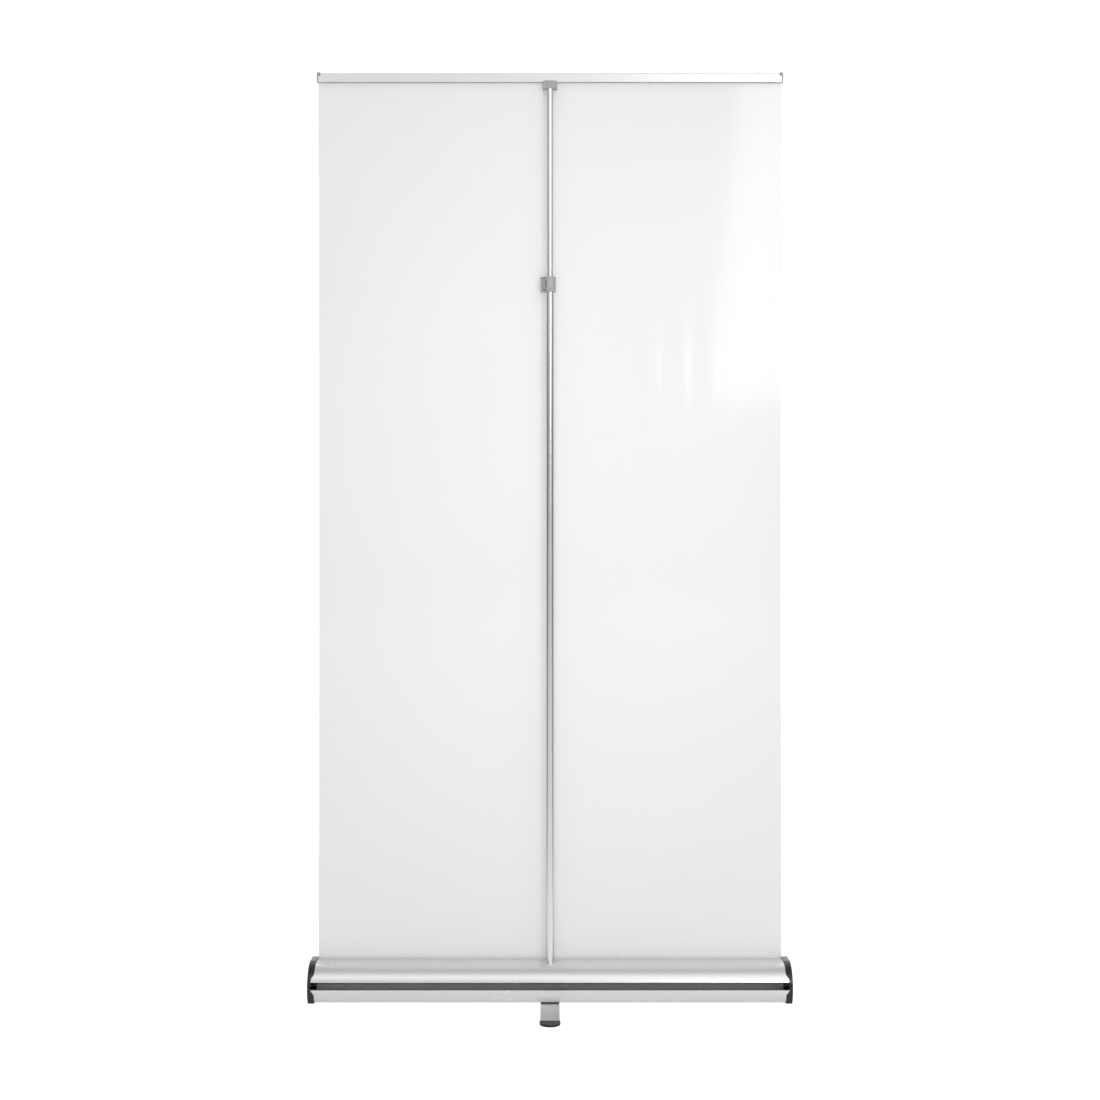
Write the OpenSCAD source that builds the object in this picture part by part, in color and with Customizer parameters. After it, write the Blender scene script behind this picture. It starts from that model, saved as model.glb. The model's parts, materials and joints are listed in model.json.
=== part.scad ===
// Roll-up banner stand: a spring roller in a two-part aluminium base, a film pulled
// up out of it, and a telescopic pole that carries the film's top rail on a hook.
// X runs along the base, the pole stands on the -Y side of the film, Z is up.
// The origin is on the floor, on the axis that the foot turns on.

/* [Overall] */
// Width of the film
film_w = 1000; // [600:5:1500]
// Height of the top rail's upper edge
stand_h = 1994.5; // [1640:0.5:2400]

/* [Film] */
// Distance of the film behind the base's crest
film_y = 30; // [28:0.5:36]
// Thickness of the film
film_t = 0.3; // [0.2:0.05:0.5]
// Thickness of the film that stays wound on the roller
wound_t = 1.5; // [0.6:0.1:3]

/* [Base] */
// Radius of the rounded pole side of the base
base_r = 48; // [46:0.5:70]
// Height of the centre of that radius
base_axis_z = 35; // [33:0.5:42]
// Front edge of the base at the bottom
front_y = 56; // [50:0.5:80]
// How far the front wall leans back on its way up
front_lean = 18; // [6:0.5:18]
// Wall of the extrusions
shell_t = 2; // [1.5:0.1:2.6]
// Height of the base's underside above the floor
floor_gap = 6; // [5.8:0.1:8]
// Lower edge of the slot along the rounded side
rear_slot_low = 34; // [26:0.5:36]
// Height of that slot
rear_slot_h = 15.5; // [10:0.5:18]
// Width of the slot that the film leaves through
film_slot = 9.6; // [9:0.1:11]
// Depth of the flanges that stiffen the slots
slot_flange = 5; // [3:0.5:6]
// Length of the extrusions beyond the film at each end
end_room = 8; // [7:0.5:14]

/* [End caps] */
// Thickness of a cap's end plate
cap_plate = 3; // [2:0.5:5]
// Room between the extrusion and the end plate
cap_room = 3; // [2:0.5:6]
// How far a cap stands proud of the extrusion
cap_wall = 2.5; // [1.5:0.1:3]
// Gap between the film's edge and a cap's skirt
skirt_gap = 0.4; // [0.3:0.1:2]
// Depth of the notch in a cap's skirt
notch_d = 6.8; // [3:0.2:7.4]
// Height of the notch at its bottom
notch_h = 20; // [12:1:24]
// Height of the slope above and below the notch
notch_slope = 15; // [8:1:16]
// Diameter of a floor pad
pad_d = 14; // [8:1:16]

/* [Screws] */
// Shank diameter of the cap screws
screw_d = 3.6; // [3:0.1:4]
// Length of the cap screws
screw_len = 16; // [12:1:30]
// Head diameter of the cap screws
screw_head_d = 7; // [6:0.5:8]
// Head height of the cap screws
screw_head_h = 2; // [1.5:0.1:2.4]
// Wall round the screw ports in the extrusions
port_wall = 1.7; // [1.2:0.1:2]

/* [Roller] */
// Height of the roller's axis
roller_z = 29; // [28:0.5:30]
// Outside diameter of the roller tube
roller_d = 30; // [24:0.5:32]
// Wall of the roller tube
roller_wall = 1.5; // [1:0.1:2]
// Diameter of the axles
axle_d = 8; // [6:0.5:10]
// Length of the roller plugs inside the tube
plug_len = 26; // [16:1:40]
// Length of the spring shaft inside the tube
shaft_len = 350; // [250:5:450]
// Diameter of the spring wire
wire_d = 1.8; // [1.2:0.1:2]
// Mean diameter of the spring
spring_d = 16; // [14:0.5:18]
// Turns of the spring
spring_turns = 22; // [8:1:26]

/* [Pole] */
// Outside diameter of the lower tubes
tube_d = 19; // [16:0.1:24]
// Wall of the tubes
tube_wall = 1.5; // [1:0.1:2]
// Clear space between the lower tubes and the film
pole_gap = 12.5; // [12:0.5:14]
// Gap between the telescoping tubes, all round
tube_gap = 0.5; // [0.3:0.1:0.8]
// Height of the joint between the two lower tubes
joint_z = 820; // [600:5:950]
// Height of the top of the lower tubes
mast_z = 1535; // [1300:1:1560]
// Length of the upper tube that stays inside the lower one
upper_hold = 80; // [60:5:120]
// Length of the spigot that joins the lower tubes
spigot_len = 90; // [60:5:140]
// Diameter of the elastic cord
cord_d = 4; // [3:0.5:6]
// Depth of the socket in the base
socket_h = 28; // [20:1:30]
// Wall round the socket's bore
socket_wall = 4.5; // [3:0.5:5]

/* [Clamp] */
// Height of the clamp
clamp_h = 33; // [28:1:44]
// Height of the clamp above the lower tube's end
clamp_over = 17; // [12:1:24]
// Wall of the clamp round the lower tube
clamp_wall = 3; // [2.6:0.1:4]
// Radius of the lever's barrel
barrel_r = 4.2; // [3.6:0.1:5]
// Diameter of the lever's pin
lever_pin_d = 2.5; // [2:0.1:3]
// Thickness of the lever
lever_t = 3.2; // [2.4:0.1:4]
// Thickness of the ears that hold the pin
ear_t = 3.5; // [2.5:0.1:5]

/* [Hook] */
// Width of the hook
hook_w = 31; // [24:0.5:40]
// Height of the hook's body
hook_h = 15.7; // [12:0.1:22]
// Space between the hook's body and the rail above it
hook_drop = 3.3; // [3:0.1:6]
// Width of the hook's tongue
tongue_w = 20; // [12:0.5:24]
// How far the tongue reaches into the rail
tongue_reach = 9; // [6:0.5:10]

/* [Rail] */
// Height of the rail
rail_h = 19.5; // [18:0.1:30]
// Thickness of the rail's fixed half
rail_back_t = 7.3; // [6.5:0.1:10]
// Wall of the rail
rail_wall = 1.5; // [1.2:0.1:1.8]
// Radius of the bead that the rail's jaw turns on
bead_r = 2.2; // [2:0.1:2.6]
// Thickness of the rail's end plugs
rail_plug_t = 3; // [2:0.5:5]
// Diameter of the round ear on an end plug
ear_d = 8; // [6:0.5:10]

/* [Foot] */
// Length of the foot over its shoes
foot_len = 408; // [300:2:480]
// Width of the foot bar
foot_w = 40; // [30:1:50]
// Thickness of the foot bar
foot_t = 2.5; // [2:0.1:3]
// Length of a shoe
shoe_len = 33; // [28:1:50]
// Height of a shoe
shoe_h = 5.5; // [5:0.1:5.6]
// Wall of a shoe beside and under the bar
shoe_wall = 1.5; // [1:0.1:2]
// Diameter of the foot's bolt
bolt_d = 8; // [6:0.5:10]

/* [Fits] */
// Running clearance of a shaft in a bore, all round
run_fit = 0.05; // [0.02:0.01:0.1]
// Clearance between pieces that move past each other
free_gap = 0.4; // [0.3:0.05:0.6]
// Clearance of pieces that slip together and stay
slip_fit = 0.1; // [0.05:0.01:0.2]

/* [Hidden] */
$fn = 64;
eps = 0.01;
far = 200;

// Base outline: its crest, and the lean of the front wall per millimetre of height
crest_z = base_axis_z + base_r;
front_run = front_lean / (crest_z - floor_gap);
rear_slot_high = rear_slot_low + rear_slot_h;
slot_rear_y = film_y - film_slot / 2;
slot_front_y = film_y + film_slot / 2;
lip_h = 6;
bead_edge_r = 1.6;
extrusion_end = film_w / 2 + end_room;
cap_in = extrusion_end + cap_room;
cap_out = cap_in + cap_plate;
skirt_in = film_w / 2 + skirt_gap;

// Y of the front wall at a height, moved inwards by an inset
function front_at(z, inset) = front_y - (z - floor_gap) * front_run - inset * sqrt(1 + front_run * front_run);

// Screw ports: two in the top cover and three in the tray, as [y, z]
port_r = screw_d / 2 + port_wall;
port_sink = 0.4;
port_arc_r = base_r - shell_t - port_r + port_sink;
port_angle = 52;
port_floor_z = floor_gap + shell_t + port_r - port_sink;
port_front_z = crest_z - 28;
cover_ports = [
    [-port_arc_r * cos(port_angle), base_axis_z + port_arc_r * sin(port_angle)],
    [slot_rear_y - port_r, crest_z - shell_t - port_r + port_sink]
];
tray_ports = [
    [-0.6 * base_r, port_floor_z],
    [front_at(port_floor_z, shell_t) - port_r + port_sink, port_floor_z],
    [front_at(port_front_z, shell_t) - port_r + port_sink, port_front_z]
];

// Roller: the film leaves it straight upwards
wound_r = roller_d / 2 + wound_t;
roller_y = film_y - wound_r;
roller_half = film_w / 2;
roller_bore = roller_d - 2 * roller_wall;
bush_d = axle_d + 5;
bush_len = 12;
boss_d = axle_d + 8;
plug_flange_t = 1.5;
spring_start = plug_len + 6;
anchor_len = 14;

// Pole
pole_y = film_y - pole_gap - tube_d / 2;
tube_bore = tube_d - 2 * tube_wall;
upper_d = tube_bore - 2 * tube_gap;
socket_top = crest_z - shell_t;
socket_low = socket_top - socket_h;
socket_half = tube_d / 2 + socket_wall;
socket_x = socket_half + 10;
socket_screw_x = socket_half + 4;
bush_bottom_len = 30;

// Clamp
clamp_top = mast_z + clamp_over;
clamp_low = clamp_top - clamp_h;
clamp_r = tube_d / 2 + clamp_wall;
pin_x = -clamp_r - barrel_r + 0.7;
lever_low = clamp_low + ear_t + free_gap;
lever_h = clamp_h - 2 * ear_t - 2 * free_gap;
lever_in_r = clamp_r + free_gap + 0.4;
lever_out_r = lever_in_r + lever_t;

// Rail: everything is placed from the film plane and the rail's upper edge
rail_low = stand_h - rail_h;
rail_half = film_w / 2;
socket_r = bead_r + 0.1;
ring_r = socket_r + 1.3;
bead_y = film_y + 1.6;
bead_z = stand_h - ring_r;
jaw_t = 1.4;
jaw_out_y = bead_y + ring_r;
rail_rear_y = film_y - 0.2 - rail_back_t;
film_top = bead_z - ring_r - 0.3;

// Hook
hook_top = rail_low - hook_drop;
hook_low = hook_top - hook_h;
hook_rear_y = pole_y - upper_d / 2 - 1.3;
hook_front_y = rail_rear_y - 0.7;
tongue_y = rail_rear_y + rail_wall + free_gap;
tongue_t = rail_back_t - rail_wall - 1.6 - 2 * free_gap;
upper_top = hook_top - 4;
upper_low = mast_z - upper_hold;
hook_pin_d = 3;

// Foot
bar_low = 1.5;
shoe_half_w = foot_w / 2 + shoe_wall;
bar_half = foot_len / 2 - shoe_wall;

// A profile drawn in Y and Z, extruded along X
module along_x(from, to) {
    translate([from, 0, 0])
        rotate([90, 0, 90])
            linear_extrude(to - from)
                children();
}

// A round bar along X
module bar_x(from, to, d, y, z) {
    translate([from, y, z])
        rotate([0, 90, 0])
            cylinder(h = to - from, d = d);
}

// Outline of the base in Y and Z, moved inwards by an inset
module base_outline(inset) {
    low = floor_gap + inset;
    top = crest_z - inset;
    intersection() {
        union() {
            intersection() {
                translate([0, base_axis_z]) circle(r = base_r - inset, $fn = 128);
                translate([-far, -far]) square([far + 0.2 * base_r, 2 * far]);
            }
            polygon([[0, low], [front_at(low, inset), low], [front_at(top, inset), top], [0, top]]);
        }
        translate([-far, low]) square([2 * far, top - low]);
    }
}

// Wall of the base all the way round
module base_wall() {
    difference() {
        base_outline(0);
        base_outline(shell_t);
    }
}

// Round screw ports along an extrusion
module port_rings(places) {
    for (place = places)
        translate(place) circle(r = port_r);
}

module port_bores(places) {
    for (place = places)
        translate(place) circle(d = screw_d);
}

// Inner edge of a slot flange: how far the rounded wall reaches at a height
function arc_y(z, inset) = -sqrt(pow(base_r - inset, 2) - pow(z - base_axis_z, 2));

// Extruded floor, front wall and lower rounded wall, with a bolt hole for the foot
module base_tray() {
    edge_z = crest_z - bead_edge_r;
    color("silver") difference() {
        along_x(-extrusion_end, extrusion_end) difference() {
            union() {
                intersection() {
                    base_wall();
                    union() {
                        translate([-far, 0]) square([2 * far, rear_slot_low]);
                        translate([slot_front_y, 0]) square([far, 2 * crest_z]);
                    }
                }
                intersection() {
                    base_outline(0);
                    union() {
                        translate([-far, rear_slot_low - shell_t])
                            square([far + arc_y(rear_slot_low, shell_t) + slot_flange, shell_t]);
                        port_rings(tray_ports);
                    }
                }
                translate([front_at(edge_z, 0) - bead_edge_r, edge_z]) circle(r = bead_edge_r);
            }
            port_bores(tray_ports);
        }
        translate([0, 0, floor_gap - eps]) cylinder(h = shell_t + 2 * eps, d = bolt_d);
    }
}

// Extruded cover over the roller, with the hole that the pole goes in through
module top_cover() {
    color("silver") difference() {
        along_x(-extrusion_end, extrusion_end) difference() {
            union() {
                intersection() {
                    base_wall();
                    translate([-far, rear_slot_high]) square([far + slot_rear_y, far]);
                }
                intersection() {
                    base_outline(0);
                    union() {
                        translate([-far, rear_slot_high])
                            square([far + arc_y(rear_slot_high, shell_t) + slot_flange, shell_t]);
                        translate([slot_rear_y - shell_t, crest_z - lip_h]) square([shell_t, lip_h]);
                        port_rings(cover_ports);
                    }
                }
            }
            port_bores(cover_ports);
        }
        translate([0, pole_y, crest_z - lip_h]) cylinder(h = lip_h + 1, d = tube_d + 2 * slip_fit);
        for (side = [-1, 1])
            translate([side * socket_screw_x, pole_y, 0]) socket_screw_space();
    }
}

// Space that a socket screw takes in the cover
module socket_screw_space() {
    translate([0, 0, crest_z - shell_t - 1]) cylinder(h = shell_t + 2, d = 4.2);
    translate([0, 0, crest_z - 1.6]) cylinder(h = 1.6 + eps, d1 = 4.2, d2 = 7.5);
}

// Moulded cap for the +X end: end plate, skirt and the boss that holds the axle
module end_cap() {
    notch_z = (rear_slot_low + rear_slot_high) / 2 + 3;
    notch_half = notch_h / 2;
    difference() {
        union() {
            along_x(cap_in, cap_out) base_outline(-cap_wall);
            along_x(skirt_in, cap_in) difference() {
                base_outline(-cap_wall);
                base_outline(-slip_fit);
            }
            bar_x(skirt_in + 3, cap_in + eps, boss_d, roller_y, roller_z);
        }
        // notch in the rounded side of the skirt
        translate([0, -far, notch_z])
            rotate([-90, 0, 0])
                linear_extrude(far - base_r / 3)
                    polygon([
                        [skirt_in - 1, -notch_half - notch_slope],
                        [skirt_in, -notch_half - notch_slope],
                        [skirt_in + notch_d, -notch_half],
                        [skirt_in + notch_d, notch_half],
                        [skirt_in, notch_half + notch_slope],
                        [skirt_in - 1, notch_half + notch_slope]
                    ]);
        bar_x(skirt_in, cap_in, axle_d, roller_y, roller_z);
        for (place = concat(cover_ports, tray_ports)) {
            bar_x(cap_in - 1, cap_out + 1, screw_d + 2 * slip_fit, place[0], place[1]);
            bar_x(cap_out - screw_head_h, cap_out + 1, screw_head_d + 2 * slip_fit, place[0], place[1]);
        }
    }
}

module end_cap_right() {
    color("#2a2b2d") end_cap();
}

module end_cap_left() {
    color("#2a2b2d") mirror([1, 0, 0]) end_cap();
}

// Five screws of the +X end cap, with cross recesses
module cap_screws() {
    for (place = concat(cover_ports, tray_ports))
        difference() {
            union() {
                bar_x(cap_out - screw_len, cap_out - eps, screw_d, place[0], place[1]);
                bar_x(cap_out - screw_head_h, cap_out - eps, screw_head_d, place[0], place[1]);
            }
            translate([cap_out, place[0], place[1]]) {
                cube([2, 0.9, 4], center = true);
                cube([2, 4, 0.9], center = true);
            }
        }
}

module cap_screws_right() {
    color("dimgray") cap_screws();
}

module cap_screws_left() {
    color("dimgray") mirror([1, 0, 0]) cap_screws();
}

// Two rubber pads under one end cap
module floor_pads() {
    pad_x = (skirt_in + cap_out) / 2;
    for (y = [-0.3 * base_r, front_y - pad_d])
        translate([pad_x, y, 0])
            intersection() {
                cylinder(h = floor_gap - cap_wall, d = pad_d);
                translate([-(cap_out - skirt_in) / 2 + 0.3, -pad_d, 0])
                    cube([cap_out - skirt_in - 0.6, 2 * pad_d, floor_gap]);
            }
}

module floor_pads_right() {
    color("#202020") floor_pads();
}

module floor_pads_left() {
    color("#202020") mirror([1, 0, 0]) floor_pads();
}

// Block under the cover that the pole stands in, notched round the screw port
module pole_socket() {
    color("#2a2b2d") difference() {
        intersection() {
            along_x(-socket_x, socket_x) base_outline(shell_t);
            translate([-socket_x, pole_y - socket_half, socket_low])
                cube([2 * socket_x, 2 * socket_half, socket_h]);
        }
        translate([0, pole_y, socket_low + 2]) cylinder(h = socket_h, d = tube_d);
        along_x(-far, far) translate(cover_ports[1]) circle(r = port_r + slip_fit);
        translate([-socket_x - 1, slot_rear_y - shell_t - slip_fit, crest_z - lip_h - slip_fit])
            cube([2 * socket_x + 2, far, far]);
        for (side = [-1, 1])
            translate([side * socket_screw_x, pole_y, socket_top - 12]) cylinder(h = 13, d = 4);
    }
}

// Two countersunk screws that hold the socket up against the cover
module socket_screws() {
    color("gray") for (side = [-1, 1])
        translate([side * socket_screw_x, pole_y, 0]) difference() {
            union() {
                translate([0, 0, socket_top - 11]) cylinder(h = shell_t + 10.9, d = 4);
                translate([0, 0, crest_z - 1.6]) cylinder(h = 1.5, d1 = 4, d2 = 7.2);
            }
            translate([0, 0, crest_z]) cube([3.6, 0.8, 1.6], center = true);
            translate([0, 0, crest_z]) cube([0.8, 3.6, 1.6], center = true);
        }
}

// Aluminium tube that the film is wound on
module roller_tube() {
    color("silver") difference() {
        bar_x(-roller_half, roller_half, roller_d, roller_y, roller_z);
        bar_x(-roller_half - 1, roller_half + 1, roller_bore, roller_y, roller_z);
    }
}

// Plug in the +X end of the roller tube
module roller_plug() {
    difference() {
        union() {
            bar_x(roller_half - plug_len, roller_half, roller_bore, roller_y, roller_z);
            bar_x(roller_half, roller_half + plug_flange_t, roller_d, roller_y, roller_z);
        }
        bar_x(roller_half - plug_len - 1, roller_half + 3, axle_d + 1, roller_y, roller_z);
        bar_x(roller_half - bush_len + plug_flange_t, roller_half + 3, bush_d, roller_y, roller_z);
    }
}

module roller_plug_right() {
    color("#333333") roller_plug();
}

module roller_plug_left() {
    color("#333333") mirror([1, 0, 0]) roller_plug();
}

// Plain bearing in a roller plug
module roller_bush() {
    difference() {
        bar_x(roller_half - bush_len + plug_flange_t, roller_half + plug_flange_t, bush_d, roller_y, roller_z);
        bar_x(roller_half - bush_len, roller_half + 3, axle_d + 2 * run_fit, roller_y, roller_z);
    }
}

module roller_bush_right() {
    color("ivory") roller_bush();
}

module roller_bush_left() {
    color("ivory") mirror([1, 0, 0]) roller_bush();
}

// Turns of film that stay on the roller
module wound_film() {
    color("white") difference() {
        bar_x(-film_w / 2, film_w / 2, 2 * wound_r, roller_y, roller_z);
        bar_x(-film_w / 2 - 1, film_w / 2 + 1, roller_d, roller_y, roller_z);
    }
}

// Fixed shaft inside the roller, which the spring winds round
module spring_shaft() {
    color("gray") bar_x(-cap_in, -roller_half + shaft_len, axle_d, roller_y, roller_z);
}

// Fixed axle at the other end
module stub_axle() {
    color("gray") bar_x(roller_half - plug_len - 4, cap_in, axle_d, roller_y, roller_z);
}

// Collar on the shaft's inner end, which holds the end of the spring
module spring_anchor() {
    end = -roller_half + shaft_len - 2;
    color("#333333") difference() {
        bar_x(end - anchor_len, end, spring_d + 6, roller_y, roller_z);
        bar_x(end - anchor_len - 1, end + 1, axle_d, roller_y, roller_z);
    }
}

// Torsion spring: a six-sided wire swept along a helix
module roller_spring() {
    from = -roller_half + spring_start;
    to = -roller_half + shaft_len - 2 - anchor_len;
    steps = 12;
    sides = 6;
    rings = spring_turns * steps;
    function wire_point(i, k) =
        let (turn = 360 * i / steps, round = 360 * k / sides, r = (spring_d + wire_d * cos(round)) / 2)
        [
            from + wire_d / 2 + (to - from - wire_d) * i / rings + wire_d / 2 * sin(round),
            roller_y + r * cos(turn),
            roller_z + r * sin(turn)
        ];
    points = [for (i = [0:rings], k = [0:sides - 1]) wire_point(i, k)];
    side_faces = [
        for (i = [0:rings - 1], k = [0:sides - 1])
            [i * sides + k, i * sides + (k + 1) % sides, (i + 1) * sides + (k + 1) % sides, (i + 1) * sides + k]
    ];
    ends = [
        [for (k = [0:sides - 1]) sides - 1 - k],
        [for (k = [0:sides - 1]) rings * sides + k]
    ];
    color("gray") polyhedron(points = points, faces = concat(side_faces, ends), convexity = 10);
}

// The film from the roller up into the rail
module film() {
    color("white")
        translate([-film_w / 2, film_y, roller_z])
            cube([film_w, film_t, film_top - roller_z]);
}

// A tube of the pole between two heights
module pole_tube(from, to, d, bore) {
    translate([0, pole_y, from]) difference() {
        cylinder(h = to - from, d = d);
        translate([0, 0, -1]) cylinder(h = to - from + 2, d = bore);
    }
}

module lower_tube() {
    color("lightgray") pole_tube(socket_low + 2, joint_z, tube_d, tube_bore);
}

module middle_tube() {
    color("lightgray") pole_tube(joint_z, mast_z, tube_d, tube_bore);
}

// Spigot inside the joint, with a hole for the elastic cord
module tube_spigot() {
    color("gray") difference() {
        pole_tube(joint_z - spigot_len / 2, joint_z + spigot_len / 2, tube_bore, cord_d);
        translate([0, pole_y, joint_z + spigot_len / 2 - 5]) cylinder(h = 6, d = cord_d + 3);
    }
}

// Plug at the bottom of the lower tube, which the elastic cord is tied to
module cord_stop() {
    color("#333333") pole_tube(socket_low + 2, socket_low + 14, tube_bore, cord_d);
}

// Elastic cord that keeps the two lower tubes together, with a knot at each end
module elastic_cord() {
    color("#202020") union() {
        translate([0, pole_y, socket_low + 3])
            cylinder(h = joint_z + spigot_len / 2 - 1 - socket_low - 3, d = cord_d);
        translate([0, pole_y, joint_z + spigot_len / 2 - 5]) cylinder(h = 5, d = cord_d + 3);
    }
}

// Moulded collar on the lower tube's end, with two ears for the lever's pin
module clamp_body() {
    ear_r = barrel_r + 0.6;
    color("#a9adad") difference() {
        translate([0, pole_y, clamp_low]) union() {
            cylinder(h = clamp_h, r = clamp_r);
            for (z = [0, clamp_h - ear_t]) {
                translate([pin_x, 0, z]) cylinder(h = ear_t, r = ear_r);
                translate([pin_x, -ear_r, z]) cube([-pin_x, 2 * ear_r, ear_t]);
            }
        }
        translate([0, pole_y, clamp_low - 1]) cylinder(h = mast_z - clamp_low + 1, d = tube_d);
        translate([0, pole_y, clamp_low]) cylinder(h = clamp_h + 1, d = upper_d + 2 * run_fit);
        translate([pin_x, pole_y, lever_low - free_gap])
            cylinder(h = lever_h + 2 * free_gap, r = barrel_r + free_gap);
        translate([pin_x, pole_y, clamp_low - 1]) cylinder(h = clamp_h + 2, d = lever_pin_d);
        translate([-clamp_r, pole_y - 4, mast_z + 2]) cube([clamp_r, 8, clamp_over - ear_t - 3]);
    }
}

// Pad that the lever's cam presses on the upper tube
module clamp_pad() {
    pad_in = upper_d / 2 + 0.3;
    pad_out = -pin_x - barrel_r - 0.3;
    color("#8a5a2b")
        translate([-pad_out, pole_y - 3.9, mast_z + 2.1])
            cube([pad_out - pad_in, 7.8, clamp_over - ear_t - 3.2]);
}

module lever_pin() {
    color("gray") translate([pin_x, pole_y, clamp_low + 0.2]) cylinder(h = clamp_h - 0.4, d = lever_pin_d);
}

// Cam lever: a barrel on the pin and an arm that wraps the clamp's near side
module clamp_lever() {
    arm_h = lever_h - 3;
    color("#a9adad") difference() {
        union() {
            translate([pin_x, pole_y, lever_low]) cylinder(h = lever_h, r = barrel_r);
            translate([0, pole_y, lever_low + (lever_h - arm_h) / 2]) difference() {
                intersection() {
                    cylinder(h = arm_h, r = lever_out_r);
                    translate([pin_x - barrel_r, -far, 0]) cube([clamp_r - 5 - pin_x + barrel_r, far, arm_h]);
                }
                translate([0, 0, -1]) cylinder(h = arm_h + 2, r = lever_in_r);
            }
        }
        translate([pin_x, pole_y, lever_low - 1]) cylinder(h = lever_h + 2, d = lever_pin_d + 2 * run_fit);
    }
}

module upper_tube() {
    color("lightgray") difference() {
        pole_tube(upper_low, upper_top, upper_d, upper_d - 2 * tube_wall);
        bar_x(-far, far, hook_pin_d, pole_y, hook_low + 4);
    }
}

// Bush at the foot of the upper tube, which guides it inside the lower one
module upper_tube_bush() {
    color("#333333") union() {
        pole_tube(upper_low - 6, upper_low, tube_bore - 2 * slip_fit, 4);
        pole_tube(upper_low - 1, upper_low + bush_bottom_len, upper_d - 2 * tube_wall, 4);
    }
}

// Moulded head of the pole: a socket for the upper tube and a tongue for the rail
module pole_hook() {
    ribs = 5;
    rib_pitch = hook_w / ribs;
    color("#8f9292") difference() {
        union() {
            translate([-hook_w / 2, hook_rear_y, hook_low]) cube([hook_w, hook_front_y - hook_rear_y, hook_h]);
            translate([-tongue_w / 2, pole_y, hook_top - 6])
                cube([tongue_w, tongue_y + tongue_t - pole_y, 6 + hook_drop - 0.3]);
            translate([-tongue_w / 2, tongue_y, hook_top - 6])
                cube([tongue_w, tongue_t, 6 + hook_drop + tongue_reach]);
        }
        translate([0, pole_y, hook_low - 1]) cylinder(h = upper_top - hook_low + 1, d = upper_d);
        bar_x(-9.5, 9.5, hook_pin_d, pole_y, hook_low + 4);
        for (i = [1:ribs - 1])
            translate([-hook_w / 2 + i * rib_pitch, hook_rear_y, hook_low - 1])
                cylinder(h = hook_h + 2, r = 0.5);
    }
}

module hook_pin() {
    color("gray") bar_x(-9.3, 9.3, hook_pin_d, pole_y, hook_low + 4);
}

// Fixed half of the rail: a channel for the hook's tongue and a socket for the jaw's bead
module rail_back() {
    inner_y = film_y - 0.2 - 1.6;
    cut_r = ring_r + 0.1;
    color("silver") along_x(-rail_half, rail_half) difference() {
        union() {
            translate([rail_rear_y, rail_low]) square([rail_wall, rail_h]);
            translate([rail_rear_y, stand_h - rail_wall]) square([bead_y - rail_rear_y, rail_wall]);
            translate([inner_y, rail_low]) square([1.6, rail_h - ring_r]);
            translate([bead_y, bead_z]) circle(r = ring_r);
        }
        translate([bead_y, bead_z]) circle(r = socket_r);
        // opening that the jaw swings through
        translate([bead_y, bead_z]) polygon([[0, 0], [cut_r, 0], [cut_r, -cut_r], [-cut_r * tan(26), -cut_r]]);
        // groove for the grip strip
        translate([film_y - 0.2 - 0.8, rail_low + 3]) square([1, 3]);
    }
}

// Snap-on jaw of the rail, which clamps the film against the fixed half
module rail_front() {
    low = rail_low + 0.4;
    skin_t = 1.2;
    skin_top = bead_z - ring_r - 1;
    plate_y = bead_y - jaw_t / 2;
    color("silver") along_x(-rail_half + free_gap, rail_half - free_gap) union() {
        translate([bead_y, bead_z]) circle(r = bead_r);
        translate([plate_y, low]) square([jaw_t, bead_z - low]);
        difference() {
            polygon([
                [plate_y, low], [jaw_out_y, low],
                [jaw_out_y, skin_top - 2.4], [plate_y + jaw_t / 2, skin_top],
                [plate_y, skin_top]
            ]);
            polygon([
                [plate_y + jaw_t, low + skin_t], [jaw_out_y - skin_t, low + skin_t],
                [jaw_out_y - skin_t, skin_top - 3.4], [plate_y + jaw_t, skin_top - 2]
            ]);
        }
    }
}

// Soft strip that keeps the film from slipping out of the rail
module rail_grip() {
    color("#303030")
        along_x(-rail_half, rail_half)
            translate([film_y - 0.2 - 0.8, rail_low + 3]) square([0.9, 3]);
}

// Plug in the +X end of the rail, with a round ear on its pole side
module rail_plug() {
    ear_x = rail_half + rail_plug_t - ear_d / 2;
    channel_in = rail_back_t - rail_wall - 1.6;
    tongue_h = rail_h - 2 * ring_r - 1.5;
    union() {
        translate([rail_half, rail_rear_y, rail_low])
            cube([rail_plug_t, jaw_out_y - rail_rear_y, rail_h]);
        translate([rail_half - 12, rail_rear_y + rail_wall, rail_low + 1])
            cube([12 + eps, channel_in, tongue_h]);
        translate([ear_x, rail_rear_y, stand_h - ear_d / 2 + 1.5]) rotate([90, 0, 0])
            difference() {
                cylinder(h = 1.8, d = ear_d);
                translate([0, 0, 1]) cylinder(h = 1, d = ear_d - 4);
            }
        translate([rail_half, rail_rear_y - 1, stand_h - ear_d + 1.5])
            cube([rail_plug_t - 0.6, 2, ear_d - 1.5]);
    }
}

module rail_plug_right() {
    color("#9a9d9d") rail_plug();
}

module rail_plug_left() {
    color("#9a9d9d") mirror([1, 0, 0]) rail_plug();
}

// Flat steel bar that turns on the bolt under the base
module foot_bar() {
    tip_r = foot_w / 2;
    color("gray") difference() {
        union() {
            translate([-foot_w / 2, -bar_half + tip_r, bar_low]) cube([foot_w, 2 * (bar_half - tip_r), foot_t]);
            for (side = [-1, 1])
                translate([0, side * (bar_half - tip_r), bar_low]) cylinder(h = foot_t, r = tip_r);
        }
        translate([0, 0, bar_low - 1]) cylinder(h = foot_t + 2, d = bolt_d + 2 * run_fit);
    }
}

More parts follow.
